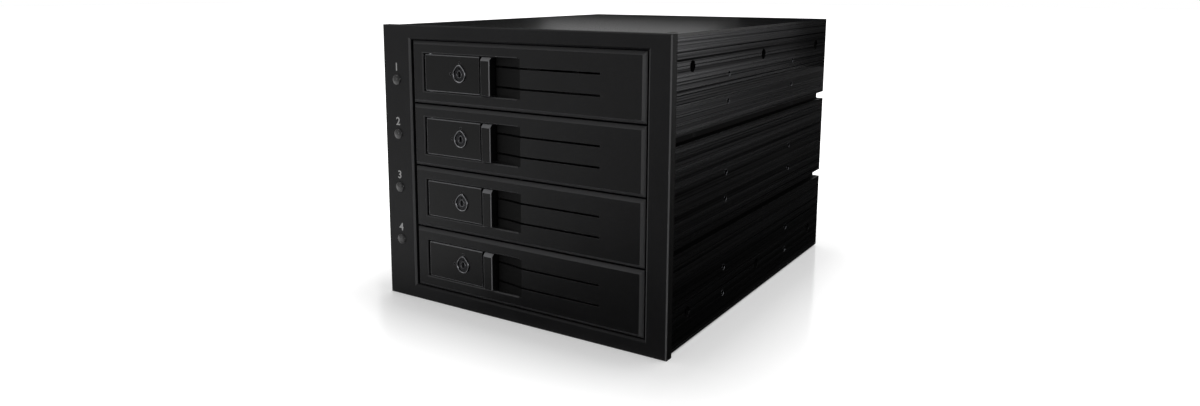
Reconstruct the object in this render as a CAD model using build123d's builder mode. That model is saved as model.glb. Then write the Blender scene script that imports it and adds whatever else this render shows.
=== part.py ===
"""Hot swap drive cage: four lever-handled trays for 3.5 inch drives in three 5.25 inch bays.

Frame: millimetres, +X right, +Y to the rear, +Z up. The origin is at the centre of the
bounding box in X and Y, at its lowest point in Z. Depths are counted from the bezel's front.
"""

from build123d import *
from math import sqrt
import os

os.makedirs("parts", exist_ok=True)

# Bezel: a plate with rims of these widths around the opening for the trays
bezel_rim_left = 16.65
bezel_rim_right = 9.85
bezel_rim_bottom = 6.6
bezel_rim_top = 6.4
bezel_thickness = 4.6
bezel_edge_chamfer = 0.5
opening_chamfer = 0.8

# Body behind the bezel
body_side_inset = 1.25
body_bottom_inset = 0.7
body_top_inset = 0.3
side_wall = 1.6
cover_sheet = 1.2

# Lengthwise grooves in the side panels, for the tongues of a computer case's bays
groove_height = 3.7
groove_depth = 3.6
groove_pitch = 44.0

# Flanges bent or formed on the side panels
lip_width = 12.0
left_flange_width = 13.0
right_flange_width = 7.0
rear_flange_width = 12.0

# Holes in the side panels: tapped rows for case screws, and plain locating holes
unit_pitch = 43.18
unit_count = 3
case_screw_spacing = 79.25
case_screw_low_row = 10.0
case_screw_high_row = 21.84
case_screw_r = 1.25
case_hole_shift = 0.35
locating_hole_r = 2.4
locating_hole_spacing = 75.75
locating_hole_inset = 13.2

# Tray faces
bay_count = 4
face_gap = 0.75
face_overhang = 0.5
face_depth = 12.0
face_skin = 2.2
face_wall = 2.0
face_chamfer = 1.5
face_side_gap = 1.0
face_end_gap = 0.37
face_screw_rise = 5.0

# Lever recess and finger dish in a tray face
recess_left = 6.7
recess_width = 39.8
recess_height = 17.1
recess_depth = 9.5
recess_wall = 1.6
recess_floor = 1.5
recess_chamfer = 0.5
dish_width = 14.2
dish_depth = 2.4
dish_middle_depth = 1.56
dish_floor = 1.8
keeper_width = 9.0
keeper_height = 2.3
keeper_thickness = 1.7
keeper_gap = 0.4

# Vent slots in a tray face
vent_slot_length = 53.3
vent_slot_height = 0.9
vent_slot_spacing = 8.7

# Lever
lever_end_gap = 1.0
lever_edge_gap = 0.3
lever_panel_thickness = 3.0
lever_edge_chamfer = 0.4
grip_gap = 1.3
grip_width = 4.9
grip_right_gap = 1.3
grip_proud = 1.0
grip_top_slope = 1.5
grip_edge_fillet = 0.6
lever_back_thickness = 2.0
lever_back_reach = 6.0
barrel_r = 2.0
barrel_centre_depth = 2.2
barrel_corner_fillet = 1.0
pin_r = 0.8
pin_clearance = 0.05
pin_seat_length = 1.3

# Key lock in the lever
lock_offset = 20.3
lock_ring_r = 3.7
lock_ring_proud = 0.3
lock_barrel_length = 7.0
lock_shoulder_r = 4.7
lock_shoulder_thickness = 1.0
lock_plug_r = 2.8
lock_clearance = 0.05
plug_front_set_back = 0.1
keyway_width = 0.8
keyway_height = 3.4
keyway_depth = 5.0
keyway_notch_r = 0.55
keyway_notch_depth = 1.6
cam_gap = 0.3
cam_thickness = 1.2
cam_hub_r = 2.6
cam_wall_gap = 0.85
cam_width = 3.6
tang_size = 2.4
tang_end = 0.4
dimple_r = 0.6
dimple_depth = 0.3
dimple_offset = 5.1

# Drive, as the small form factor standards give it
drive_width = 101.6
drive_length = 147.0
drive_height = 26.1
drive_bottom_hole_width = 95.25
drive_bottom_hole_near = 41.28
drive_bottom_hole_far = 85.73
drive_side_hole_near = 28.5
drive_side_hole_far = 130.1
drive_side_hole_height = 6.35
drive_screw_hole_r = 1.8
drive_side_room = 0.3
drive_front_room = 0.6
drive_top_room = 1.55

# Tray frame
frame_sheet = 1.2
frame_bottom_inset = 0.15
frame_wall_height = 12.7
frame_rear_room = 5.3
runner_width = 7.2
front_plate_height = 20.0
vent_width = 17.0
vent_corner = 2.0
front_vent_height = 12.0
front_vent_pitch = 19.5
front_vent_count = 2
front_vent_inset = 2.0
floor_vent_length = 34.0
floor_vent_pitch = 30.0
floor_vent_columns = 3
floor_vent_rows = 2
floor_vent_row_pitch = 58.0

# Guides for the trays
guide_front_room = 0.3
guide_web = 2.5
guide_end_margin = 4.4
shelf_thickness = 2.0
shelf_wall_room = 1.4
runner_rest_gap = 0.3
runner_top_gap = 0.4
boss_size = 6.0
boss_length = 12.0

# Backplane board and what it carries
board_gap_to_drive = 4.0
board_thickness = 1.6
board_side_room = 0.8
board_end_margin = 4.4
board_vent_height = 14.0
board_vent_pitch = 20.0
board_vent_count = 3
board_vent_offset = 30.0
receptacle_width = 41.5
receptacle_height = 6.4
receptacle_length = 8.6
receptacle_side_offset = 20.7
receptacle_rise = 4.5
receptacle_slot_height = 2.4
receptacle_slot_depth = 5.5
receptacle_data_slot = 10.6
receptacle_power_slot = 21.6
socket_depth = 8.5
socket_height = 6.2
data_socket_width = 16.6
power_socket_width = 23.6
socket_wall = 1.1
socket_tongue = 1.2
socket_hollow_depth = 6.5
socket_column_x = -46.0
data_socket_pitch = 14.0
power_socket_pitch = 15.0
socket_lowest = 32.0
header_width = 7.6
header_depth = 5.8
header_height = 4.0
header_pin_size = 0.64
header_pin_length = 6.0
header_pin_pitch = 2.54
header_rise = 49.0
capacitor_r = 4.0
capacitor_height = 11.0
capacitor_side_gap = 1.5
capacitor_bead = 0.6

# Lamps beside the trays
lamp_pitch = 25.25
lamp_count = 4
lamp_inset = 8.05
lamp_centre_rise = 1.2
lens_r = 2.4
lens_proud = 0.4
lens_dome = 0.35
lens_length = 6.9
lens_shoulder_r = 2.9
lens_shoulder_thickness = 1.0
lamp_gap = 0.3
lamp_r = 1.5
lamp_length = 2.4
lamp_rim_r = 1.8
lamp_rim_thickness = 0.5
lamp_board_width = 8.6
lamp_board_room = 0.3
lamp_board_margin = 5.0
lamp_board_thickness = 1.2
lamp_post_r = 1.5
lamp_post_pin_r = 0.9
lamp_post_pin_end = 0.5
flange_hole_clearance = 0.4

# Rear plate and fan
rear_window_width = 32.0
rear_window_height = 88.0
rear_window_corner = 2.0
fan_x = 18.0
fan_front_room = 1.3
fan_size = 80.0
fan_depth = 20.0
fan_corner_r = 4.0
fan_bore_r = 38.2
fan_hole_spacing = 71.5
fan_hole_r = 2.15
fan_flange = 3.5
fan_waist_r = 39.6
hub_base_r = 17.0
hub_base_thickness = 2.5
strut_width = 3.0
strut_count = 3
bearing_seat_r = 4.0
bearing_r = 3.0
bearing_length = 13.0
shaft_r = 1.5
shaft_clearance = 0.03
rotor_r = 18.0
rotor_wall = 1.7
rotor_front_gap = 1.5
rotor_base_gap = 1.0
rotor_boss_r = 5.0
rotor_boss_gap = 0.3
blade_count = 7
blade_tip_gap = 0.9
blade_thickness = 1.5
blade_root_chord = 15.0
blade_tip_chord = 17.0
blade_root_pitch = 48.0
blade_tip_pitch = 62.0
stator_r = 14.0
stator_pole_width = 4.0
stator_shoe_thickness = 1.6
stator_core_r = 6.5
stator_length = 8.0
stator_pole_count = 4
stator_base_gap = 1.0
guard_wire_r = 0.9
guard_eyelet = 1.4
guard_eyelet_rim = 1.0
guard_ring_step = 1.2
guard_ring_count = 4
guard_ring_pitch = 9.5
guard_inner_ring_r = 11.5

# Screws: shank radius, head radius and head height of each size
small_shank_r = 1.1
small_head_r = 2.2
small_head_height = 1.6
flush_head_height = 1.0
flush_shank_r = 1.2
cover_screw_length = 4.2
fine_shank_r = 1.0
fine_head_r = 1.7
fine_head_height = 0.9
plate_shank_r = 1.5
plate_head_r = 2.7
plate_head_height = 1.6
plate_screw_length = 4.4
fan_shank_r = 2.15
fan_head_r = 3.6
fan_head_height = 2.0
fan_screw_grip = 9.0
hole_clearance = 0.2
head_room = 0.3
boss_rim = 0.4
slot_half_width = 0.3
recess_of_drive = 0.5
bezel_screw_grip = 3.2
bezel_screw_end = 10.0
face_screw_grip = 7.0
board_screw_grip = 7.0
cover_screw_inset = 6.5
cover_screw_end = 11.0
plate_screw_end = 12.0
guide_screw_depth = 17.0

# How far a cut or a buried end runs past the face it meets
overrun = 1.0

# Tray and opening sizes that follow from the drive
frame_half = drive_width / 2 + drive_side_room + frame_sheet
runner_half = frame_half + runner_width
face_width = 2 * (runner_half + face_overhang)
bay_pitch = drive_height + frame_sheet + drive_top_room
face_height = bay_pitch - face_gap
opening_width = face_width + 2 * face_side_gap
opening_height = (bay_count - 1) * bay_pitch + face_height + 2 * face_end_gap
bezel_width = bezel_rim_left + opening_width + bezel_rim_right
bezel_height = bezel_rim_bottom + opening_height + bezel_rim_top
face_centre_x = (bezel_rim_left - bezel_rim_right) / 2
opening_centre_z = bezel_rim_bottom + opening_height / 2

# Depths of the main planes, from the bezel's front
drive_front_depth = face_depth + frame_sheet + drive_front_room
drive_rear_depth = drive_front_depth + drive_length
frame_end_depth = drive_rear_depth - frame_rear_room
guide_depth = face_depth + frame_sheet + guide_front_room
board_depth = drive_rear_depth + board_gap_to_drive
board_rear = board_depth + board_thickness
fan_front_depth = board_rear + fan_front_room
rear_plate_depth = fan_front_depth + fan_depth
cage_depth = rear_plate_depth + cover_sheet
rear_proud = guard_eyelet + fan_head_height
total_depth = grip_proud + cage_depth + rear_proud
front_y = grip_proud - total_depth / 2
case_screw_centre_depth = (bezel_thickness + rear_plate_depth) / 2 + case_hole_shift

# Widths and heights of the body
body_half = bezel_width / 2 - body_side_inset
body_bottom = body_bottom_inset
body_top = bezel_height - body_top_inset
body_centre_z = (body_bottom + body_top) / 2
panel_bottom = body_bottom + cover_sheet
panel_top = body_top - cover_sheet
panel_inner = body_half - side_wall
channel_inner = body_half - groove_depth - side_wall
groove_centres = [body_centre_z - groove_pitch / 2, body_centre_z + groove_pitch / 2]
bay_centres = [
    opening_centre_z + (bay_count - 1 - 2 * n) / 2 * bay_pitch for n in range(bay_count)
]
lamp_x = lamp_inset - bezel_width / 2
lamp_centre_z = bezel_height / 2 + lamp_centre_rise
lamp_heights = [
    lamp_centre_z + (lamp_count - 1 - 2 * n) / 2 * lamp_pitch for n in range(lamp_count)
]
lamp_post_heights = [height - lamp_pitch / 2 for height in lamp_heights[:-1]]
lamp_board_depth = lens_length + lamp_gap + lamp_length

# Lever, lock and tray frame places that several pieces share
face_left = face_centre_x - face_width / 2
recess_x = face_left + recess_left
recess_right = recess_x + recess_width
lever_left = recess_x + lever_end_gap
lever_height = recess_height - 2 * lever_edge_gap
grip_right = recess_right - grip_right_gap
grip_left = grip_right - grip_width
panel_right = grip_left - grip_gap
barrel_x = lever_left + barrel_r
lock_x = lever_left + lock_offset
cam_depth = lock_barrel_length + cam_gap
cam_reach = recess_height / 2 - cam_wall_gap
frame_bottom_drop = face_height / 2 - frame_bottom_inset
frame_wall_top = frame_wall_height - frame_bottom_drop
drive_rest_z = frame_sheet - frame_bottom_drop
boss_r = small_head_r + boss_rim
right_screw_x = face_centre_x + frame_half + small_head_r + head_room
face_screw_places = [
    (recess_right + recess_wall + boss_r + head_room, 0),
    (right_screw_x, face_screw_rise),
    (right_screw_x, -face_screw_rise),
]


def upright(depth):
    """A plane facing the front at a depth behind the bezel's front: sketch x is X, sketch y is Z."""
    return Plane.XZ.offset(-(front_y + depth))


def slab(x_low, x_high, depth_low, depth_high, z_low, z_high, mode=Mode.ADD):
    """A box between two corners, with its Y given as depths behind the bezel's front."""
    centre = ((x_low + x_high) / 2, front_y + (depth_low + depth_high) / 2, (z_low + z_high) / 2)
    with Locations(centre):
        Box(x_high - x_low, depth_high - depth_low, z_high - z_low, mode=mode)


def rod(places, radius, depth_low, depth_high, mode=Mode.ADD):
    """Round rods or holes along Y at a list of (x, z) places."""
    with BuildSketch(upright(depth_low)) as section:
        with Locations(*places):
            Circle(radius)
    extrude(section.sketch, amount=depth_low - depth_high, mode=mode)


def cone(places, radius_low, radius_high, depth_low, depth_high, mode=Mode.ADD):
    """Cones along Y at a list of (x, z) places, for flush screw heads and their seats."""
    middle = front_y + (depth_low + depth_high) / 2
    for x, z in places:
        with Locations(Location((x, middle, z), (-90, 0, 0))):
            Cone(radius_low, radius_high, depth_high - depth_low, mode=mode)


def keep(piece, name):
    """Label a finished piece and write it as a STEP file of its own."""
    piece.part.label = name
    export_step(piece.part, f"parts/{name}.step")


# Screw places on the cage, as (x, z) unless said otherwise
cover_screw_x = body_half - cover_screw_inset
cover_screw_depths = [
    bezel_thickness + cover_screw_end,
    cage_depth / 2,
    rear_plate_depth - cover_screw_end,
]
left_bezel_screws = [
    (-(body_half - left_flange_width / 2), panel_bottom + bezel_screw_end),
    (-(body_half - left_flange_width / 2), panel_top - bezel_screw_end),
]
right_bezel_screws = [
    (panel_inner - small_head_r - 2 * head_room, z)
    for z in (panel_bottom + bezel_screw_end, body_centre_z, panel_top - bezel_screw_end)
]
plate_screws = [
    (side * (body_half - rear_flange_width / 2), z)
    for side in (-1, 1)
    for z in (body_bottom + plate_screw_end, body_centre_z, body_top - plate_screw_end)
]
fan_holes = [
    (fan_x + sx * fan_hole_spacing / 2, body_centre_z + sz * fan_hole_spacing / 2)
    for sx in (-1, 1)
    for sz in (-1, 1)
]
board_screw_x = channel_inner - guide_web - boss_size / 2
board_screw_heights = [opening_centre_z + n * bay_pitch for n in (-1, 0, 1)]
board_screw_places = [(side * board_screw_x, z) for side in (-1, 1) for z in board_screw_heights]
guide_screw_depths = [guide_depth + guide_screw_depth, board_depth - guide_screw_depth]

# Front bezel: a plate with one opening for all trays, lens holes and posts for the lamp board
with BuildPart() as front_bezel:
    slab(-bezel_width / 2, bezel_width / 2, 0, bezel_thickness, 0, bezel_height)
    chamfer(front_bezel.faces().sort_by(Axis.Y)[0].edges(), bezel_edge_chamfer)
    with BuildSketch(upright(0)) as opening:
        with Locations((face_centre_x, opening_centre_z)):
            Rectangle(opening_width, opening_height)
    extrude(opening.sketch, amount=-bezel_thickness, mode=Mode.SUBTRACT)
    with BuildSketch(upright(0)) as opening_rim:
        with Locations((face_centre_x, opening_centre_z)):
            Rectangle(opening_width + 2 * opening_chamfer, opening_height + 2 * opening_chamfer)
    extrude(opening_rim.sketch, amount=-opening_chamfer, taper=45, mode=Mode.SUBTRACT)
    rod([(lamp_x, z) for z in lamp_heights], lens_r, 0, bezel_thickness, mode=Mode.SUBTRACT)
    posts = [(lamp_x, z) for z in lamp_post_heights]
    rod(posts, lamp_post_r, bezel_thickness, lamp_board_depth)
    pin_end = lamp_board_depth + lamp_board_thickness + lamp_post_pin_end
    rod(posts, lamp_post_pin_r, lamp_board_depth, pin_end)
    rod(
        left_bezel_screws + right_bezel_screws,
        small_shank_r,
        bezel_thickness - bezel_screw_grip,
        bezel_thickness,
        mode=Mode.SUBTRACT,
    )
keep(front_bezel, "front_bezel")


def side_panel(side):
    """One side panel, for side -1 (left) or 1 (right): a web with two grooves, lips and flanges."""

    def across(inner, outer):
        return sorted((side * inner, side * outer))

    flange_width = left_flange_width if side < 0 else right_flange_width
    front = bezel_thickness
    rear = rear_plate_depth
    with BuildPart() as panel:
        slab(*across(panel_inner, body_half), front, rear, panel_bottom, panel_top)
        lip = across(body_half - lip_width, body_half)
        slab(*lip, front, rear, panel_bottom, panel_bottom + side_wall)
        slab(*lip, front, rear, panel_top - side_wall, panel_top)
        front_flange = across(body_half - flange_width, body_half)
        slab(*front_flange, front, front + side_wall, panel_bottom, panel_top)
        rear_flange = across(body_half - rear_flange_width, body_half)
        slab(*rear_flange, rear - side_wall, rear, panel_bottom, panel_top)
        for z in groove_centres:
            reach = groove_height / 2 + side_wall
            slab(*across(channel_inner, body_half), front, rear, z - reach, z + reach)
        for z in groove_centres:
            groove = across(body_half - groove_depth, body_half)
            low = z - groove_height / 2
            high = z + groove_height / 2
            slab(*groove, front, rear, low, high, mode=Mode.SUBTRACT)

        # Tapped holes for case screws: two rows in each of the three units
        outside = Plane.YZ.offset(side * panel_inner) if side > 0 else Plane.YZ.offset(-body_half)
        with BuildSketch(outside) as case_holes:
            for unit in range(unit_count):
                for row in (case_screw_low_row, case_screw_high_row):
                    for end in (-1, 1):
                        y = front_y + case_screw_centre_depth + end * case_screw_spacing / 2
                        with Locations((y, body_bottom + row + unit * unit_pitch)):
                            Circle(case_screw_r)
        extrude(case_holes.sketch, amount=side_wall, mode=Mode.SUBTRACT)
        with BuildSketch(outside) as locating_holes:
            for z in (body_bottom + locating_hole_inset, body_top - locating_hole_inset):
                for step in (-1, 0, 1):
                    y = front_y + case_screw_centre_depth + step * locating_hole_spacing
                    with Locations((y, z)):
                        Circle(locating_hole_r)
        extrude(locating_holes.sketch, amount=side_wall, mode=Mode.SUBTRACT)

        # Countersunk holes through the groove floors for the guide screws
        for z in groove_centres:
            for depth in guide_screw_depths:
                floor_outer = side * (body_half - groove_depth)
                turn = (0, 90 * side, 0)
                with Locations(Location((floor_outer - side * side_wall / 2, front_y + depth, z), turn)):
                    Cylinder(fine_shank_r + hole_clearance, side_wall, mode=Mode.SUBTRACT)
                seat = floor_outer - side * fine_head_height / 2
                with Locations(Location((seat, front_y + depth, z), turn)):
                    Cone(fine_shank_r, fine_head_r, fine_head_height, mode=Mode.SUBTRACT)

        # Screw holes to the bezel, the covers and the rear plate
        bezel_screws = left_bezel_screws if side < 0 else right_bezel_screws
        shank = small_shank_r + hole_clearance
        rod(bezel_screws, shank, front, front + side_wall, mode=Mode.SUBTRACT)
        for depth in cover_screw_depths:
            for z in (panel_bottom + side_wall / 2, panel_top - side_wall / 2):
                with Locations((side * cover_screw_x, front_y + depth, z)):
                    Cylinder(flush_shank_r, side_wall, mode=Mode.SUBTRACT)
        places = [place for place in plate_screws if place[0] * side > 0]
        rod(places, plate_shank_r, rear - side_wall, rear, mode=Mode.SUBTRACT)
        if side < 0:
            lens_room = lens_shoulder_r + flange_hole_clearance
            lenses = [(lamp_x, z) for z in lamp_heights]
            rod(lenses, lens_room, front, front + side_wall, mode=Mode.SUBTRACT)
            post_room = lamp_post_r + flange_hole_clearance
            posts = [(lamp_x, z) for z in lamp_post_heights]
            rod(posts, post_room, front, front + side_wall, mode=Mode.SUBTRACT)
    return panel


left_side_panel = side_panel(-1)
keep(left_side_panel, "left_side_panel")
right_side_panel = side_panel(1)
keep(right_side_panel, "right_side_panel")


def cover(outer_z, inner_z):
    """A flat cover sheet with countersunk screw holes, its heads' seats on the outer face."""
    up = 1 if outer_z > inner_z else -1
    with BuildPart() as sheet:
        slab(
            -body_half, body_half, bezel_thickness, rear_plate_depth,
            min(outer_z, inner_z), max(outer_z, inner_z),
        )
        for depth in cover_screw_depths:
            for side in (-1, 1):
                middle = (side * cover_screw_x, front_y + depth, (outer_z + inner_z) / 2)
                with Locations(middle):
                    Cylinder(flush_shank_r + hole_clearance, cover_sheet, mode=Mode.SUBTRACT)
                seat = (side * cover_screw_x, front_y + depth, outer_z - up * flush_head_height / 2)
                turn = (0, 0, 0) if up > 0 else (180, 0, 0)
                with Locations(Location(seat, turn)):
                    Cone(flush_shank_r, small_head_r, flush_head_height, mode=Mode.SUBTRACT)
    return sheet


top_cover = cover(body_top, panel_top)
keep(top_cover, "top_cover")
bottom_plate = cover(body_bottom, panel_bottom)
keep(bottom_plate, "bottom_plate")

# Flush screws of both covers, threaded into the side panels' lips
with BuildPart() as cover_screws:
    for outer_z, up in ((body_top, 1), (body_bottom, -1)):
        for depth in cover_screw_depths:
            for side in (-1, 1):
                turn = (0, 0, 0) if up > 0 else (180, 0, 0)
                head = (side * cover_screw_x, front_y + depth, outer_z - up * flush_head_height / 2)
                with Locations(Location(head, turn)):
                    Cone(flush_shank_r, small_head_r, flush_head_height)
                shank_length = cover_screw_length - flush_head_height
                middle = outer_z - up * (flush_head_height + shank_length / 2)
                with Locations((side * cover_screw_x, front_y + depth, middle)):
                    Cylinder(flush_shank_r, shank_length)
                drive = outer_z - up * recess_of_drive / 2
                with Locations((side * cover_screw_x, front_y + depth, drive)):
                    slot = 2 * slot_half_width
                    Box(2 * flush_shank_r, slot, recess_of_drive, mode=Mode.SUBTRACT)
                    Box(slot, 2 * flush_shank_r, recess_of_drive, mode=Mode.SUBTRACT)
keep(cover_screws, "cover_screws")

# Pan head screws that hold the bezel to the side panels' front flanges
with BuildPart() as bezel_screws:
    places = left_bezel_screws + right_bezel_screws
    flange_back = bezel_thickness + side_wall
    rod(places, small_shank_r, bezel_thickness - bezel_screw_grip, flange_back)
    rod(places, small_head_r, flange_back, flange_back + small_head_height)
    rod(
        places, small_shank_r / 2,
        flange_back + small_head_height - recess_of_drive, flange_back + small_head_height,
        mode=Mode.SUBTRACT,
    )
keep(bezel_screws, "bezel_screws")


def tray_guide(side):
    """Moulded guide for one side: a web with a pair of shelves for each tray's runner."""
    web_outer = side * channel_inner
    web_inner = side * (channel_inner - guide_web)
    shelf_end = face_centre_x + side * (frame_half + shelf_wall_room)
    z_low = panel_bottom + guide_end_margin
    z_high = panel_top - guide_end_margin
    front = guide_depth
    rear = board_depth
    with BuildPart() as guide:
        slab(*sorted((web_outer, web_inner)), front, rear, z_low, z_high)
        for bay_z in bay_centres:
            runner_top = bay_z + frame_wall_top
            lower = runner_top - frame_sheet - runner_rest_gap
            upper = runner_top + runner_top_gap
            for low in (lower - shelf_thickness, upper):
                slab(*sorted((web_inner, shelf_end)), front, rear, low, low + shelf_thickness)
        lead_in = guide.edges().filter_by(Axis.X).group_by(Axis.Y)[0]
        chamfer(lead_in, runner_rest_gap)
        for z in board_screw_heights:
            boss = sorted((web_inner, web_inner - side * boss_size))
            slab(*boss, rear - boss_length, rear, z - boss_size / 2, z + boss_size / 2)
        places = [(side * board_screw_x, z) for z in board_screw_heights]
        rod(places, small_shank_r, rear - board_screw_grip, rear, mode=Mode.SUBTRACT)
        for z in groove_centres:
            for depth in guide_screw_depths:
                middle = (side * (channel_inner - guide_web / 2), front_y + depth, z)
                with Locations(Location(middle, (0, 90, 0))):
                    Cylinder(fine_shank_r, guide_web, mode=Mode.SUBTRACT)
    return guide


left_guide = tray_guide(-1)
keep(left_guide, "left_guide")
right_guide = tray_guide(1)
keep(right_guide, "right_guide")

# Small flush screws in the groove floors that hold the guides
with BuildPart() as guide_screws:
    for side in (-1, 1):
        for z in groove_centres:
            for depth in guide_screw_depths:
                floor_outer = body_half - groove_depth
                turn = (0, 90 * side, 0)
                head = side * (floor_outer - fine_head_height / 2)
                with Locations(Location((head, front_y + depth, z), turn)):
                    Cone(fine_shank_r, fine_head_r, fine_head_height)
                shank_length = side_wall + guide_web - fine_head_height
                middle = side * (floor_outer - fine_head_height - shank_length / 2)
                with Locations(Location((middle, front_y + depth, z), turn)):
                    Cylinder(fine_shank_r, shank_length)
keep(guide_screws, "guide_screws")

# Backplane board across the rear of the bays, with air slots beside each drive's receptacle
receptacle_x = face_centre_x - receptacle_side_offset
board_vent_x = [
    face_centre_x + board_vent_offset + (n - (board_vent_count - 1) / 2) * board_vent_pitch
    for n in range(board_vent_count)
]
board_low = panel_bottom + board_end_margin
board_high = panel_top - board_end_margin
board_half = channel_inner - board_side_room
with BuildPart() as backplane_board:
    slab(-board_half, board_half, board_depth, board_rear, board_low, board_high)
    for bay_z in bay_centres:
        for x in board_vent_x:
            slab(
                x - vent_width / 2, x + vent_width / 2, board_depth, board_rear,
                bay_z - board_vent_height / 2, bay_z + board_vent_height / 2,
                mode=Mode.SUBTRACT,
            )
    clear = small_shank_r + hole_clearance
    rod(board_screw_places, clear, board_depth, board_rear, mode=Mode.SUBTRACT)
keep(backplane_board, "backplane_board")

# Receptacles that the drives plug into, one per bay, each with its two keyed slots
with BuildPart() as drive_connectors:
    receptacle_front = board_depth - receptacle_length
    for bay_z in bay_centres:
        z = bay_z + drive_rest_z + receptacle_rise
        slab(
            receptacle_x - receptacle_width / 2, receptacle_x + receptacle_width / 2,
            receptacle_front, board_depth, z - receptacle_height / 2, z + receptacle_height / 2,
        )
        slot_low = z - receptacle_slot_height / 2
        slot_high = z + receptacle_slot_height / 2
        slot_back = receptacle_front + receptacle_slot_depth
        data_left = receptacle_x - receptacle_width / 2 + 2 * socket_wall
        power_right = receptacle_x + receptacle_width / 2 - 2 * socket_wall
        for left, right in (
            (data_left, data_left + receptacle_data_slot),
            (power_right - receptacle_power_slot, power_right),
        ):
            slab(left, right, receptacle_front, slot_back, slot_low, slot_high, mode=Mode.SUBTRACT)
            slab(
                left, left + socket_tongue, receptacle_front, slot_back,
                slot_low - socket_tongue, slot_high, mode=Mode.SUBTRACT,
            )
keep(drive_connectors, "drive_connectors")


def header_socket(z, width):
    """A shrouded header on the board's rear: a shell with a hollow and a contact tongue."""
    left = socket_column_x - width / 2
    right = socket_column_x + width / 2
    end = board_rear + socket_depth
    hollow_front = end - socket_hollow_depth
    low = z - socket_height / 2
    high = z + socket_height / 2
    slab(left, right, board_rear, end, low, high)
    slab(
        left + socket_wall, right - socket_wall, hollow_front, end,
        low + socket_wall, high - socket_wall, mode=Mode.SUBTRACT,
    )
    slab(
        left + 2 * socket_wall, right - 2 * socket_wall, hollow_front, end - socket_wall,
        z - socket_tongue / 2, z + socket_tongue / 2,
    )


data_socket_heights = [socket_lowest + n * data_socket_pitch for n in range(bay_count)]
power_socket_heights = [data_socket_heights[-1] + (n + 1) * power_socket_pitch for n in (0, 1)]
with BuildPart() as data_sockets:
    for z in data_socket_heights:
        header_socket(z, data_socket_width)
keep(data_sockets, "data_sockets")
with BuildPart() as power_sockets:
    for z in power_socket_heights:
        header_socket(z, power_socket_width)
keep(power_sockets, "power_sockets")

# Three-pin header for the fan's lead
header_z = body_centre_z + header_rise
with BuildPart() as fan_header:
    slab(
        socket_column_x - header_width / 2, socket_column_x + header_width / 2,
        board_rear, board_rear + header_height,
        header_z - header_depth / 2, header_z + header_depth / 2,
    )
    for n in (-1, 0, 1):
        x = socket_column_x + n * header_pin_pitch
        slab(
            x - header_pin_size / 2, x + header_pin_size / 2,
            board_rear + header_height, board_rear + header_height + header_pin_length,
            header_z - header_pin_size / 2, header_z + header_pin_size / 2,
        )
keep(fan_header, "fan_header")

# Round smoothing capacitors on the board's rear, one per drive
with BuildPart() as board_capacitors:
    capacitor_places = [
        (socket_column_x + data_socket_width / 2 + capacitor_r + capacitor_side_gap, z)
        for z in data_socket_heights
    ]
    rod(capacitor_places, capacitor_r, board_rear, board_rear + capacitor_height)
    fillet(board_capacitors.faces().sort_by(Axis.Y)[-bay_count:].edges(), capacitor_bead)
keep(board_capacitors, "board_capacitors")

# Screws that hold the board to the bosses of the guides
with BuildPart() as board_screws:
    rod(board_screw_places, small_shank_r, board_depth - board_screw_grip, board_rear)
    rod(board_screw_places, small_head_r, board_rear, board_rear + small_head_height)
    rod(
        board_screw_places, small_shank_r / 2,
        board_rear + small_head_height - recess_of_drive, board_rear + small_head_height,
        mode=Mode.SUBTRACT,
    )
keep(board_screws, "board_screws")

# Lamps beside the trays: lenses in the bezel, lamps behind them and the board they stand on
with BuildPart() as lamp_lenses:
    places = [(lamp_x, z) for z in lamp_heights]
    rod(places, lens_r, -lens_proud, lens_length)
    fillet(lamp_lenses.faces().sort_by(Axis.Y)[:lamp_count].edges(), lens_dome)
    rod(places, lens_shoulder_r, bezel_thickness, bezel_thickness + lens_shoulder_thickness)
keep(lamp_lenses, "lamp_lenses")
with BuildPart() as lamps:
    lamp_front = lens_length + lamp_gap
    places = [(lamp_x, z) for z in lamp_heights]
    rod(places, lamp_r, lamp_front, lamp_board_depth)
    fillet(lamps.faces().sort_by(Axis.Y)[:lamp_count].edges(), lamp_r / 2)
    rod(places, lamp_rim_r, lamp_board_depth - lamp_rim_thickness, lamp_board_depth)
keep(lamps, "lamps")
with BuildPart() as lamp_board:
    slab(
        lamp_x - lamp_board_width / 2, lamp_x + lamp_board_width / 2,
        lamp_board_depth, lamp_board_depth + lamp_board_thickness,
        lamp_heights[-1] - lamp_board_margin, lamp_heights[0] + lamp_board_margin,
    )
    for z in groove_centres:
        reach = groove_height / 2 + side_wall + lamp_board_room
        slab(
            -body_half, lamp_board_room - channel_inner,
            lamp_board_depth, lamp_board_depth + lamp_board_thickness, z - reach, z + reach,
            mode=Mode.SUBTRACT,
        )
    rod(
        [(lamp_x, z) for z in lamp_post_heights], lamp_post_pin_r,
        lamp_board_depth, lamp_board_depth + lamp_board_thickness, mode=Mode.SUBTRACT,
    )
keep(lamp_board, "lamp_board")

# Rear plate: notched where the grooves run out, with the fan's opening and a window for plugs
with BuildPart() as rear_plate:
    slab(-body_half, body_half, rear_plate_depth, cage_depth, body_bottom, body_top)
    for side in (-1, 1):
        for z in groove_centres:
            slab(
                *sorted((side * (body_half - groove_depth), side * body_half)),
                rear_plate_depth, cage_depth, z - groove_height / 2, z + groove_height / 2,
                mode=Mode.SUBTRACT,
            )
    with BuildSketch(upright(rear_plate_depth)) as cut_outs:
        with Locations((fan_x, body_centre_z)):
            Circle(fan_bore_r)
        with Locations((socket_column_x, body_centre_z)):
            RectangleRounded(rear_window_width, rear_window_height, rear_window_corner)
        with Locations(*fan_holes):
            Circle(fan_shank_r + hole_clearance)
        with Locations(*plate_screws):
            Circle(plate_shank_r + hole_clearance)
    extrude(cut_outs.sketch, amount=-cover_sheet, mode=Mode.SUBTRACT)
keep(rear_plate, "rear_plate")
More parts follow.
